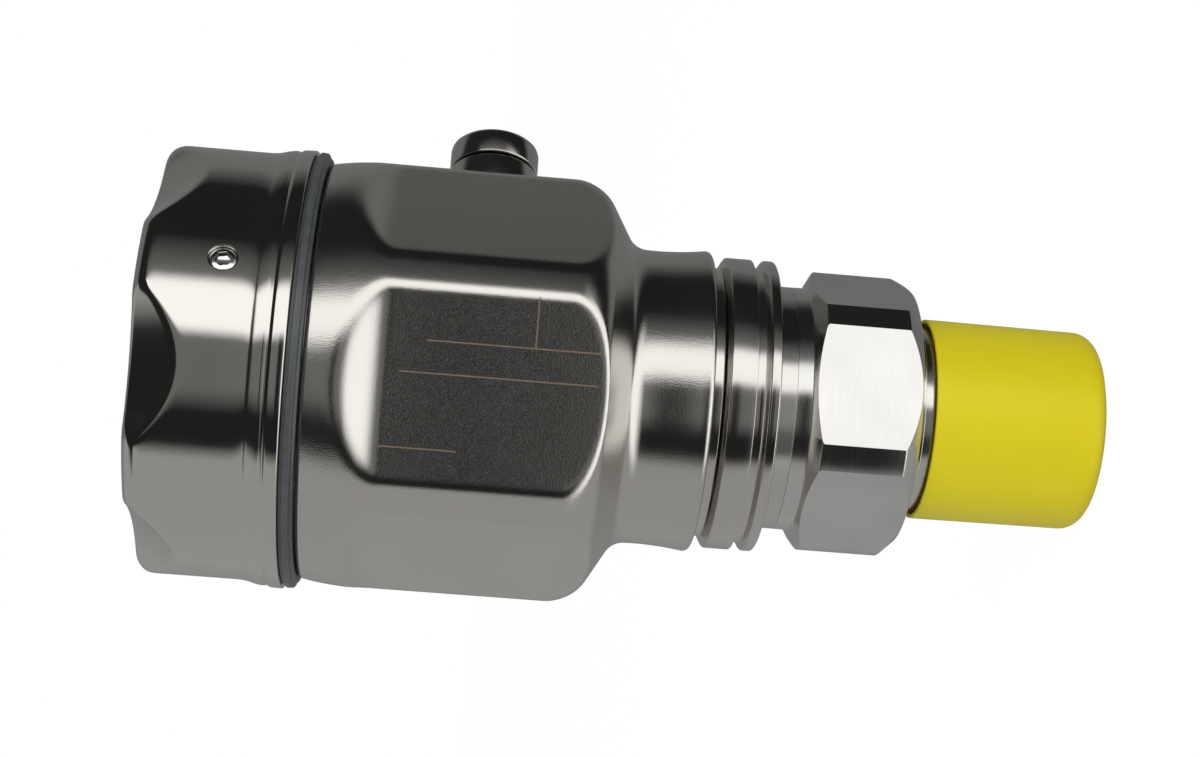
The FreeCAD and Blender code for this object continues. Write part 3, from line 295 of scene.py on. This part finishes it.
def new_finish(name, colour, metallic, roughness, **more):
    """A material with its shader, and the object's own coordinates to draw patterns on."""
    material = bpy.data.materials.new(name)
    material.use_nodes = True
    tree = material.node_tree
    shader = tree.nodes["Principled BSDF"]
    shader.inputs["Base Color"].default_value = hue(colour)
    shader.inputs["Metallic"].default_value = metallic
    shader.inputs["Roughness"].default_value = roughness
    for socket, value in more.items():
        shader.inputs[socket.replace("_", " ")].default_value = value
    where = add(tree, "ShaderNodeTexCoord").outputs["Object"]
    return material, tree, shader, where


def vary(tree, shader, socket, texture, low, high):
    """Lets a texture move a shader's value between two limits."""
    spread = add(tree, "ShaderNodeMapRange", {0: texture, 3: low, 4: high})
    tree.links.new(spread.outputs[0], shader.inputs[socket])


def vary_colour(tree, shader, texture, first, second):
    """Lets a texture move a shader's colour between two others."""
    mix = add(tree, "ShaderNodeMix", {0: texture, 6: hue(first), 7: hue(second)}, data_type="RGBA")
    tree.links.new(mix.outputs[2], shader.inputs["Base Color"])


def roughen(tree, shader, texture, depth, strength=1.0):
    """Presses a texture into the surface, to a depth in millimetres."""
    bump = add(tree, "ShaderNodeBump",
               {"Height": texture, "Distance": depth * MM, "Strength": strength})
    tree.links.new(bump.outputs[0], shader.inputs["Normal"])


def drawn_steel():
    """Deep-drawn stainless steel, glass-bead blasted and electropolished: a fine satin grain."""
    material, tree, shader, where = new_finish("drawn_steel", "#cbc8c2", 1.0, 0.14)
    # the beads leave a grain of 0.1 mm, drawn as 0.2 mm so that it shows
    grain = add(tree, "ShaderNodeTexNoise", {"Vector": where, "Scale": 5000.0, "Detail": 1.0})
    clouds = add(tree, "ShaderNodeTexNoise", {"Vector": where, "Scale": 60.0, "Detail": 4.0})
    vary(tree, shader, "Roughness", clouds.outputs[0], 0.11, 0.18)
    vary_colour(tree, shader, clouds.outputs[0], "#c6c3bc", "#d0cdc8")
    roughen(tree, shader, grain.outputs[0], 0.02, 0.9)
    # rules of a laser-marked plate, left bare: matt, light brown lines 0.25 mm wide
    parts = add(tree, "ShaderNodeSeparateXYZ", {0: where})
    marks = None
    for across, along in PLATE_RULES:
        share = add(tree, "ShaderNodeMath", {0: parts.outputs["Y"], 1: -FLAT_DISTANCE * MM + 1e-4},
                    operation="LESS_THAN").outputs[0]
        for source, (start, end) in (("X", across), ("Z", along)):
            for limit, test in ((start, "GREATER_THAN"), (end, "LESS_THAN")):
                inside = add(tree, "ShaderNodeMath", {0: parts.outputs[source], 1: limit * MM},
                             operation=test).outputs[0]
                share = add(tree, "ShaderNodeMath", {0: share, 1: inside},
                            operation="MULTIPLY").outputs[0]
        marks = share if marks is None else add(
            tree, "ShaderNodeMath", {0: marks, 1: share}, operation="MAXIMUM").outputs[0]
    before = shader.inputs["Base Color"].links[0].from_socket
    mix = add(tree, "ShaderNodeMix", {0: marks, 6: before, 7: hue("#6f6350")}, data_type="RGBA")
    tree.links.new(mix.outputs[2], shader.inputs["Base Color"])
    vary(tree, shader, "Metallic", marks, 1.0, 0.0)
    return material


def polished_steel():
    """Machined stainless steel, electropolished: nearly a mirror, with a faint orange peel."""
    material, tree, shader, where = new_finish("polished_steel", "#cfccc6", 1.0, 0.09)
    peel = add(tree, "ShaderNodeTexNoise", {"Vector": where, "Scale": 700.0, "Detail": 2.0})
    clouds = add(tree, "ShaderNodeTexNoise", {"Vector": where, "Scale": 50.0, "Detail": 3.0})
    vary(tree, shader, "Roughness", clouds.outputs[0], 0.06, 0.13)
    roughen(tree, shader, peel.outputs[0], 0.006, 0.4)
    return material


def turned_steel():
    """Turned stainless steel: fine rings from the tool, 0.2 mm apart, drawn at 0.35 mm."""
    material, tree, shader, where = new_finish("turned_steel", "#ccc9c4", 1.0, 0.14)
    rings = add(tree, "ShaderNodeTexWave", {"Vector": where, "Scale": 900.0, "Distortion": 0.6,
                                            "Detail": 2.0}, bands_direction="Z")
    clouds = add(tree, "ShaderNodeTexNoise", {"Vector": where, "Scale": 80.0, "Detail": 3.0})
    vary(tree, shader, "Roughness", clouds.outputs[0], 0.1, 0.2)
    roughen(tree, shader, rings.outputs[0], 0.004, 0.35)
    return material


def milled_steel():
    """Hexagon bar, milled: faint strokes of the cutter across the flats, turned elsewhere."""
    material, tree, shader, where = new_finish("milled_steel", "#d0cecb", 1.0, 0.16)
    stretch = add(tree, "ShaderNodeMapping", {"Vector": where, "Scale": (0.08, 0.08, 1.0)})
    # strokes 0.2 mm apart, drawn 0.4 mm apart so that they show
    strokes = add(tree, "ShaderNodeTexNoise", {"Vector": stretch.outputs[0], "Scale": 2400.0,
                                               "Detail": 4.0})
    clouds = add(tree, "ShaderNodeTexNoise", {"Vector": where, "Scale": 90.0, "Detail": 5.0})
    vary(tree, shader, "Roughness", strokes.outputs[0], 0.1, 0.24)
    vary_colour(tree, shader, clouds.outputs[0], "#c4c3c0", "#dbd9d6")
    roughen(tree, shader, strokes.outputs[0], 0.006, 0.5)
    return material


def chrome_steel():
    """Small screw, polished bright."""
    material, tree, shader, where = new_finish("chrome_steel", "#d8d8d6", 1.0, 0.05)
    marks = add(tree, "ShaderNodeTexNoise", {"Vector": where, "Scale": 1200.0, "Detail": 3.0})
    vary(tree, shader, "Roughness", marks.outputs[0], 0.03, 0.1)
    return material


def plated_brass():
    """Brass hexagon parts, barrel-plated with nickel: a soft yellowish silver."""
    material, tree, shader, where = new_finish("nickel_plate", "#c2beb0", 1.0, 0.2)
    tumbled = add(tree, "ShaderNodeTexNoise", {"Vector": where, "Scale": 350.0, "Detail": 5.0})
    vary(tree, shader, "Roughness", tumbled.outputs[0], 0.14, 0.28)
    vary_colour(tree, shader, tumbled.outputs[0], "#b9b5a6", "#cbc8bb")
    roughen(tree, shader, tumbled.outputs[0], 0.008, 0.4)
    return material


def screw_steel():
    """Small stainless screws, cold-headed and left bright."""
    material, tree, shader, where = new_finish("screw_steel", "#b9b7b2", 1.0, 0.25)
    marks = add(tree, "ShaderNodeTexNoise", {"Vector": where, "Scale": 900.0, "Detail": 4.0})
    vary(tree, shader, "Roughness", marks.outputs[0], 0.18, 0.34)
    roughen(tree, shader, marks.outputs[0], 0.01, 0.4)
    return material


def moulded_rubber(name="epdm_rubber", dark="#111111", light="#1f1f1f", roughness=0.55):
    """EPDM rubber, moulded: black and dull, with a faint dust; grey tones given in place of black
    are painted sheen.
    """
    material, tree, shader, where = new_finish(name, dark, 0.0, roughness)
    dust = add(tree, "ShaderNodeTexNoise", {"Vector": where, "Scale": 400.0, "Detail": 5.0})
    vary(tree, shader, "Roughness", dust.outputs[0], roughness - 0.1, roughness + 0.13)
    vary_colour(tree, shader, dust.outputs[0], dark, light)
    roughen(tree, shader, dust.outputs[0], 0.02, 0.5)
    return material


def yellow_polyethylene():
    """Injection-moulded low-density polyethylene: waxy, a little light gets into it."""
    material, tree, shader, where = new_finish(
        "yellow_polyethylene", "#e2d200", 0.0, 0.42, Subsurface_Weight=0.08,
        Subsurface_Scale=0.002)
    mould = add(tree, "ShaderNodeTexNoise", {"Vector": where, "Scale": 900.0, "Detail": 4.0})
    clouds = add(tree, "ShaderNodeTexNoise", {"Vector": where, "Scale": 45.0, "Detail": 2.0})
    vary(tree, shader, "Roughness", mould.outputs[0], 0.36, 0.5)
    vary_colour(tree, shader, clouds.outputs[0], "#dccb00", "#e6d800")
    roughen(tree, shader, mould.outputs[0], 0.012, 0.35)
    return material


def moulded_plastic(name, colour, light, roughness=0.45):
    """Moulded polyamide or ABS with a fine eroded texture."""
    material, tree, shader, where = new_finish(name, colour, 0.0, roughness)
    grain = add(tree, "ShaderNodeTexNoise", {"Vector": where, "Scale": 1500.0, "Detail": 3.0})
    vary(tree, shader, "Roughness", grain.outputs[0], roughness - 0.07, roughness + 0.1)
    vary_colour(tree, shader, grain.outputs[0], colour, light)
    roughen(tree, shader, grain.outputs[0], 0.015, 0.4)
    return material


# ------------------------------------------------------------------ pieces

STEEL = drawn_steel()
POLISHED = polished_steel()
TURNED = turned_steel()
MILLED = milled_steel()
CHROME = chrome_steel()
NICKEL = plated_brass()
SCREW = screw_steel()
RUBBER = moulded_rubber()
GREASED_PAINTED_SHEEN = moulded_rubber("greased_epdm_painted_sheen", "#3c3f41", "#54585a", 0.36)     # greased, so it shines; its grey colours are painted sheen on black rubber
YELLOW = yellow_polyethylene()


def finish_piece(thing, material, body, slot, *nodes, crease=32):
    """Gives a piece its finish and its body, and hides the nodes that it stands for."""
    smooth(thing, crease)
    thing.data.materials.clear()
    thing.data.materials.append(material)
    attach(thing, body)
    if nodes:
        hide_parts(*nodes)
    return thing


def flat_depth(place):
    """How far a point of the housing stands out of the flat at the front."""
    share = min(soften(place.z / MM - FLAT_TOP, FLAT_CORNER) / (FLAT_END - FLAT_TOP), 1)
    rise = FLAT_RISE * share * (2 - share)
    return -place.y - (FLAT_DISTANCE + rise) * MM


def flat_softness(place):
    """The press's edge is tight along a flat, and wide where the flat runs out."""
    height = place.z / MM - RUN_OUT_EDGE_FROM
    share = min(max(height / (RUN_OUT_EDGE_TO - RUN_OUT_EDGE_FROM), 0), 1)
    return (FLAT_EDGE + (RUN_OUT_EDGE - FLAT_EDGE) * share * share * (3 - 2 * share)) * MM


def make_housing():
    """Drawn shell: lip, neck, shoulder and body with six flats, and the thread at its mouth."""
    shell = turn_on_lathe("housing_shell", [
        (20.0, 47.5), (23.9, 47.5), (23.9, 36.9, 0.3), (26.0, 36.9, 0.35), (26.5, 37.6, 0.4),
        (25.7, 43.0, 4.0), (25.85, 50.3, 2.0), (37.05, 56.9, 4.4), (37.05, 98.9, 4.2),
        (36.0, 103.8, 0.6), (35.1, 103.8), (35.1, 98.8), (31.9, 98.8), (31.9, 55.9),
        (23.4, 50.9), (20.0, 49.4), (20.0, 47.5),
    ], steps=420, grain=0.6, where=lambda middle: middle.x > 32 and middle.z > 50)
    push_in(shell, 6, flat_depth, lambda place: Vector((0, -1, 0)), flat_softness)
    finish_piece(shell, STEEL, "housing", "steel", "housing", crease=40)
    thread = lay_thread("mouth_thread", *MOUTH_THREAD, 105.2, 117.2, steps=120)
    finish_piece(thread, TURNED, "housing", "steel")


def scoop_depth(place):
    """How far a point of the cover stands out of the scoop at the front."""
    across = place.x / MM
    outwards = -place.y / MM - SCOOP_FACE
    drop = COVER_TOP - place.z / MM
    normal = outwards * math.cos(SCOOP_TILT) - drop * math.sin(SCOOP_TILT)
    hollow = SCOOP_RADIUS - math.sqrt(max(SCOOP_RADIUS ** 2 - across ** 2, 0))
    return (normal - hollow) * MM


def scoop_direction(place):
    """The way out of a scoop's floor."""
    return Vector((0, -math.cos(SCOOP_TILT), math.sin(SCOOP_TILT)))


def make_cover():
    """Hollow screw cover: rim, flare and rounded face, with six scoops milled into it."""
    cover = turn_on_lathe("cover_shell", [
        (0, 129.2), (30.0, 129.2, 1.0), (34.5, 123.0, 1.0), (34.5, 106.4, 0.3),
        (38.15, 106.4, 0.35), (38.05, 108.7, 0.3),
        (37.65, 109.2, 0.2), (37.85, 109.8, 0.3), (37.75, 111.1, 0.9), (37.1, 112.9, 1.6),
        (37.1, 131.7, 3.2), (27.5, 131.7), (0, 131.7),
    ], steps=640, grain=0.42, where=lambda middle: (
        middle.x > 27.5 and middle.z > 117 and (middle.x > 34.6 or middle.z > 129.3)))
    push_in(cover, 6, scoop_depth, scoop_direction, lambda place: SCOOP_EDGE * MM)
    hole = turn_on_lathe("screw_hole", [
        (0, 33.0), (2.3, 33.0), (2.3, 36.8), (2.55, 37.2), (2.8, 38.0), (2.8, 40.0), (0, 40.0),
    ], steps=64)
    aim(hole, LOCK_HEIGHT, LOCK_TURN - 90)
    cut(cover, hole)
    finish_piece(cover, POLISHED, "cover", "polished_steel", "cover", crease=50)


def make_lock_screw():
    """Socket set screw that locks the cover."""
    screw = turn_on_lathe("lock_screw", [
        (0, 32.8), (2.22, 32.8), (2.22, 36.6, 0.25), (1.3, 36.82, 0.2), (0, 36.9),
    ], steps=96)
    cut(screw, prism(6, 2.4, 35.4, 37.5, 12))
    ease_edges(screw, 0.12)
    aim(screw, LOCK_HEIGHT, LOCK_TURN - 90)
    finish_piece(screw, CHROME, "cover", "plated_steel", "cover_lock_screw")


def make_seal():
    """Ring of rubber, squeezed out a little between the cover and the housing."""
    seal = turn_on_lathe("cover_seal_ring", [
        (34.5, 104.0), (36.9, 104.0, 0.1), (37.1, 104.45), (37.85, 104.6, 0.15),
        (37.95, 105.75, 0.2), (37.2, 105.85), (37.2, 106.3), (34.5, 106.3), (34.5, 104.0),
    ])
    # the seal's black rubber is coloured grey here: painted sheen
    finish_piece(seal, GREASED_PAINTED_SHEEN, "cover_seal", "black_rubber", "cover_seal")


def make_neck():
    """Neck with two rings and the spigot that the housing turns on."""
    neck = turn_on_lathe("sensor_neck_rings", [
        (17.5, 22.5), (21.35, 22.5, 0.1), (21.35, 25.75, 0.3), (25.3, 25.75, 0.3),
        (25.6, 26.05, 0.1), (25.6, 27.5, 0.25), (24.25, 28.3, 0.2), (24.2, 29.8, 0.15),
        (25.6, 29.8, 0.15), (25.6, 34.2, 0.25), (23.65, 35.3, 0.2), (23.6, 37.4), (22.5, 37.4),
        (22.5, 41.0), (23.6, 41.0), (23.6, 42.6), (21.8, 42.6), (21.8, 44.6), (23.6, 44.6),
        (23.6, 47.2, 0.4), (17.5, 47.2), (17.5, 22.5),
    ])
    finish_piece(neck, TURNED, "process_side", "steel", "sensor_neck")
    ring = turn_on_lathe("neck_ring_rubber", [
        (21.9, 43.0, 0.3), (23.5, 43.0, 0.5), (23.5, 44.3, 0.5), (21.9, 44.3, 0.3),
        (21.9, 43.0),
    ], steps=96)
    finish_piece(ring, RUBBER, "process_side", "black_rubber", "neck_o_ring")


def make_hexagon():
    """Hexagon on round bar with its sealing face, and the thread under it."""
    bar = turn_on_lathe("process_hexagon", [
        (4.0, -22.0), (11.2, -22.0), (11.2, -30.5), (14.6, -30.5, 0.2), (15.1, -29.9, 0.2),
        (15.1, -3.2, 0.2), (16.3, -2.6, 0.15), (16.3, 0, 0.1), (18.4, 0, 0.15), (18.4, 1.2, 0.1),
        (22.3, 1.3, 0.2), (24.75, 3.9, 0.2), (24.75, 18.0, 0.3), (21.4, 19.8, 0.3),
        (21.35, 22.5, 0.1), (17.5, 22.5), (17.5, 14.0), (4.0, 14.0), (4.0, -22.0),
    ], steps=240)
    cut(bar, prism(6, HEX_ACROSS, -40, 30, HEX_TURN), "INTERSECT")
    finish_piece(bar, MILLED, "process_side", "steel", "process_connection", crease=14)
    thread = lay_thread("process_thread", *PROCESS_THREAD, -30.3, -3.2)
    for point in thread.data.vertices:
        limit = (PROCESS_THREAD[0] - max(0.0, PROCESS_THREAD_LEAD - point.co.z / MM)) * MM
        if point.co.xy.length > limit:
            point.co.xy *= limit / point.co.xy.length
    finish_piece(thread, TURNED, "process_side", "steel")


def make_cap():
    """Push-on cap that keeps the thread clean."""
    cap = turn_on_lathe("protective_cap_shell", [
        (0, -32.1), (17.45, -32.1, 3.4), (17.67, -2.0, 0.3), (16.92, -2.0, 0.2),
        (16.92, -28.8, 1.5), (14.92, -30.8), (0, -30.8),
    ], grain=3.0)
    finish_piece(cap, YELLOW, "protective_cap", "yellow_cap", "protective_cap")


def make_vent():
    """Vent: a round nozzle and its cap, with a thin gap for the air between them."""
    nozzle = turn_on_lathe("vent_base", [
        (2.0, 31.9), (5.0, 31.9), (5.0, 33.5), (8.1, 33.5, 0.2), (8.1, 43.4, 0.3), (5.8, 43.4),
        (5.8, 46.4), (2.0, 46.4), (2.0, 31.9),
    ], steps=96)
    aim(nozzle, ENTRY_HEIGHT, 30)
    finish_piece(nozzle, TURNED, "housing", "steel", "vent_nozzle")
    cap = turn_on_lathe("vent_cap_shell", [
        (0, 47.6), (6.15, 47.6), (6.15, 44.0), (8.1, 44.0, 0.3), (8.1, 49.2, 1.1), (0, 49.2),
    ], steps=96)
    aim(cap, ENTRY_HEIGHT, 30)
    finish_piece(cap, TURNED, "housing", "steel", "vent_cap")


def make_gland():
    """Cable gland of nickel-plated brass on its welded socket, with a rubber insert."""
    socket = turn_on_lathe("gland_boss", [
        (10.0, 31.9), (12.6, 31.9), (12.6, 33.3), (13.1, 33.6, 0.2), (12.7, 34.2, 0.3),
        (12.6, 37.4, 0.4), (10.0, 37.4), (10.0, 31.9),
    ], steps=96)
    aim(socket, ENTRY_HEIGHT, 90)
    finish_piece(socket, TURNED, "housing", "steel", "gland_socket")
    ring = turn_on_lathe("gland_ring_rubber", [
        (10.3, 37.4, 0.2), (12.0, 37.4, 0.6), (12.0, 39.0, 0.6), (10.3, 39.0, 0.2), (10.3, 37.4),
    ], steps=96)
    aim(ring, ENTRY_HEIGHT, 90)
    finish_piece(ring, RUBBER, "housing", "black_rubber", "gland_ring")
    body = turn_on_lathe("gland_hexagon", [
        (6.2, 29.0), (9.8, 29.0, 0.6), (9.8, 39.0), (12.4, 39.0, 0.2), (13.5, 39.7, 0.2),
        (13.5, 44.3, 0.2), (12.4, 45.0, 0.2), (9.1, 45.0), (9.1, 54.7, 0.5), (6.2, 54.7),
        (6.2, 29.0),
    ], steps=120)
    cut(body, prism(6, GLAND_ACROSS, 20, 60), "INTERSECT")
    aim(body, ENTRY_HEIGHT, 90)
    finish_piece(body, NICKEL, "housing", "plated_steel", "gland_body", crease=14)
    nut = turn_on_lathe("gland_dome_nut", [
        (9.4, 46.2), (12.2, 46.2, 0.3), (13.6, 46.9, 0.3), (13.6, 54.4, 0.4), (12.0, 56.2, 1.2),
        (8.8, 59.2, 1.0), (5.6, 59.2, 0.5), (5.6, 57.6), (7.6, 57.0), (9.4, 55.5), (9.4, 46.2),
    ], steps=120)
    cut(nut, prism(6, GLAND_ACROSS, 40, 65), "INTERSECT")
    aim(nut, ENTRY_HEIGHT, 90)
    finish_piece(nut, NICKEL, "gland_nut", "plated_steel", "gland_nut", crease=16)
    sleeve = turn_on_lathe("gland_insert_rubber", [
        (4.5, 48.2, 0.5), (7.3, 48.2, 0.3), (7.3, 55.8, 0.8), (5.3, 57.2, 0.3), (4.5, 57.2, 0.2),
        (4.5, 48.2),
    ], steps=96)
    aim(sleeve, ENTRY_HEIGHT, 90)
    finish_piece(sleeve, RUBBER, "gland_sleeve", "black_rubber", "gland_sleeve")


MATERIALS = {
    "steel": SCREW, "polished_steel": POLISHED, "black_rubber": RUBBER, "yellow_cap": YELLOW,
    "plated_steel": SCREW, "cable": RUBBER,
    "black_plastic": moulded_plastic("black_polyamide", "#1b1b1d", "#242427"),
    "grey_plastic": moulded_plastic("grey_abs", "#777b80", "#858a8f"),
    "green_plastic": moulded_plastic("green_polyamide", "#2f7f45", "#3a8d50"),
    "white_plastic": moulded_plastic("white_abs", "#e6e5df", "#f0efea"),
    "board_green": moulded_plastic("solder_mask", "#124e2a", "#186033", 0.3),
    "light": moulded_plastic("clear_lens", "#bfe0bf", "#d0ecd0", 0.2),
    "filter": moulded_plastic("sintered_filter", "#cfcfca", "#dddcd8", 0.7),
}


def dress_nodes():
    """Gives every node that stays as it is its finish."""
    for part in frame["record"]["subparts"]:
        node = frame["nodes"][part["node"]]
        node.data.materials.clear()
        node.data.materials.append(MATERIALS[part["material_slot"]])


# ------------------------------------------------------------------ studio

def tent(tree, angle, stops):
    """Tones round the light tent, from (degrees from the front, tone) stops."""
    ramp = add(tree, "ShaderNodeValToRGB", {0: angle})
    elements = ramp.color_ramp.elements
    while len(elements) > 1:
        elements.remove(elements[-1])
    elements[0].position = (stops[0][0] + 180) / 360
    elements[0].color = hue(stops[0][1])
    for degrees, tone in stops[1:]:
        elements.new((degrees + 180) / 360).color = hue(tone)
    return ramp.outputs[0]


def hang_panel(tree, behind, angle, height, tone, degrees, reach, edge, fade):
    """Hangs a panel in the tent: between two angles, and between two heights of a sight line.

    Edge is how soft its sides are, in degrees, and fade how soft its top and bottom are.
    """
    sides = [add(tree, "ShaderNodeMapRange", {0: source, 1: start, 2: end},
                 interpolation_type="SMOOTHSTEP").outputs[0]
             for source, start, end in (
                 (angle, (degrees[0] - edge + 180) / 360, (degrees[0] + edge + 180) / 360),
                 (angle, (degrees[1] + edge + 180) / 360, (degrees[1] - edge + 180) / 360),
                 (height, reach[0] - fade, reach[0] + fade),
                 (height, reach[1] + fade, reach[1] - fade))]
    share = sides[0]
    for side in sides[1:]:
        share = add(tree, "ShaderNodeMath", {0: share, 1: side}, operation="MULTIPLY").outputs[0]
    return add(tree, "ShaderNodeMix", {0: share, 6: behind, 7: hue(tone)},
               data_type="RGBA").outputs[2]


SOFT_BOX = "#f2f2f2"          # neutral tones of the studio
WALL = "#888888"
DIM_WALL = "#606060"
FLAG = "#1a1a1a"              # black cloth that gives the metal its dark edges
TENT = [                      # degrees from the front, and the tone there
    (-180, DIM_WALL), (-130, WALL), (-50, WALL), (-42, FLAG), (-24, FLAG), (-12, DIM_WALL),
    (14, DIM_WALL), (20, SOFT_BOX), (42, SOFT_BOX), (48, DIM_WALL), (70, FLAG), (110, FLAG),
    (130, DIM_WALL), (180, DIM_WALL),
]
PANELS = [                    # tone, degrees, reach, edge, fade
    (FLAG, (-25, 17), (-0.075, 0.08), 4, 0.03),          # in front, behind the camera
    (FLAG, (-70, 70), (0.6, 1.2), 12, 0.04),             # overhead
    (SOFT_BOX, (-60, 60), (-1.9, -0.57), 12, 0.27),      # on the table, in front
]


def make_tent():
    """A plain light tent: grey walls, a soft box on one side, and black flags."""
    world = bpy.data.worlds.new("light_tent")
    bpy.context.scene.world = world
    world.use_nodes = True
    tree = world.node_tree
    tree.nodes.clear()
    way = add(tree, "ShaderNodeTexCoord").outputs["Generated"]
    parts = add(tree, "ShaderNodeSeparateXYZ", {0: way})
    height = parts.outputs["Z"]
    front = add(tree, "ShaderNodeMath", {0: parts.outputs["Y"], 1: -1.0}, operation="MULTIPLY")
    turn = add(tree, "ShaderNodeMath", {0: parts.outputs["X"], 1: front.outputs[0]},
               operation="ARCTAN2")
    angle = add(tree, "ShaderNodeMapRange", {0: turn.outputs[0], 1: -math.pi, 2: math.pi,
                                             3: 0.0, 4: 1.0}).outputs[0]
    walls = tent(tree, angle, TENT)
    for panel in PANELS:
        walls = hang_panel(tree, walls, angle, height, *panel)
    mirror = add(tree, "ShaderNodeBackground", {"Color": walls, "Strength": 1.7})
    white = add(tree, "ShaderNodeBackground", {"Color": hue("#ffffff"), "Strength": 1.0})
    soft = add(tree, "ShaderNodeBackground", {"Color": hue("#ffffff"), "Strength": 0.48})
    rays = add(tree, "ShaderNodeLightPath")
    matt = add(tree, "ShaderNodeMixShader",
               {0: rays.outputs["Is Glossy Ray"], 1: soft.outputs[0], 2: mirror.outputs[0]})
    seen = add(tree, "ShaderNodeMixShader",
               {0: rays.outputs["Is Camera Ray"], 1: matt.outputs[0], 2: white.outputs[0]})
    add(tree, "ShaderNodeOutputWorld", {"Surface": seen.outputs[0]})


def make_lamp(name, place, aim_at, size, power):
    """A soft lamp that lights the object but isn't mirrored in it."""
    lamp = bpy.data.lights.new(name, "AREA")
    lamp.shape = "RECTANGLE"
    lamp.size, lamp.size_y = size
    lamp.energy = power
    holder = bpy.data.objects.new(name, lamp)
    bpy.context.scene.collection.objects.link(holder)
    holder.location = place
    holder.rotation_euler = (Vector(aim_at) - Vector(place)).to_track_quat("-Z", "Y").to_euler()
    holder.visible_glossy = False


def make_floor():
    """White floor that the part stands on."""
    bpy.ops.mesh.primitive_plane_add(size=30, location=(0, 0, cad_low.z))
    floor = bpy.context.active_object
    floor.name = "floor"
    material = bpy.data.materials.new("white_floor")
    material.use_nodes = True
    tree = material.node_tree
    shader = tree.nodes["Principled BSDF"]
    shader.inputs["Base Color"].default_value = hue("#f4f4f2")
    shader.inputs["Roughness"].default_value = 0.8
    glow = add(tree, "ShaderNodeEmission", {"Color": hue("#ffffff"), "Strength": 1.09})
    rays = add(tree, "ShaderNodeLightPath")
    share = add(tree, "ShaderNodeMath", {0: rays.outputs["Is Camera Ray"], 1: 0.86},
                operation="MULTIPLY")
    both = add(tree, "ShaderNodeMixShader",
               {0: share.outputs[0], 1: shader.outputs[0], 2: glow.outputs[0]})
    tree.links.new(both.outputs[0], tree.nodes["Material Output"].inputs["Surface"])
    floor.data.materials.append(material)
    floor.visible_glossy = False


def make_camera():
    """Camera beside the part, rolled so that the cover is at the left."""
    camera = bpy.data.cameras.new("camera")
    holder = bpy.data.objects.new("camera", camera)
    bpy.context.scene.collection.objects.link(holder)
    camera.sensor_width = 36
    camera.lens = 65.06
    camera.clip_start, camera.clip_end = 0.01, 50
    right = Vector((0.0812050, -0.0561082, -0.9951169))
    up = Vector((0.9964675, 0.0260134, 0.0798485))
    back = Vector((0.0214062, -0.9980858, 0.0580224))
    turn = Matrix((right, up, back)).transposed()
    holder.matrix_world = Matrix.Translation((0.0108, -0.38076, 0.07658)) @ turn.to_4x4()
    bpy.context.scene.camera = holder


make_camera()
make_tent()
make_lamp("key", (0.3, -0.9, 0.25), (0, 0, 0.03), (0.8, 0.8), 5)
make_lamp("fill", (-0.6, -0.6, 0.1), (0, 0, 0.03), (1.0, 1.0), 1.5)
make_floor()
dress_nodes()
make_housing()
make_cover()
make_lock_screw()
make_seal()
make_neck()
make_hexagon()
make_cap()
make_vent()
make_gland()
bpy.context.scene.view_settings.view_transform = "Standard"
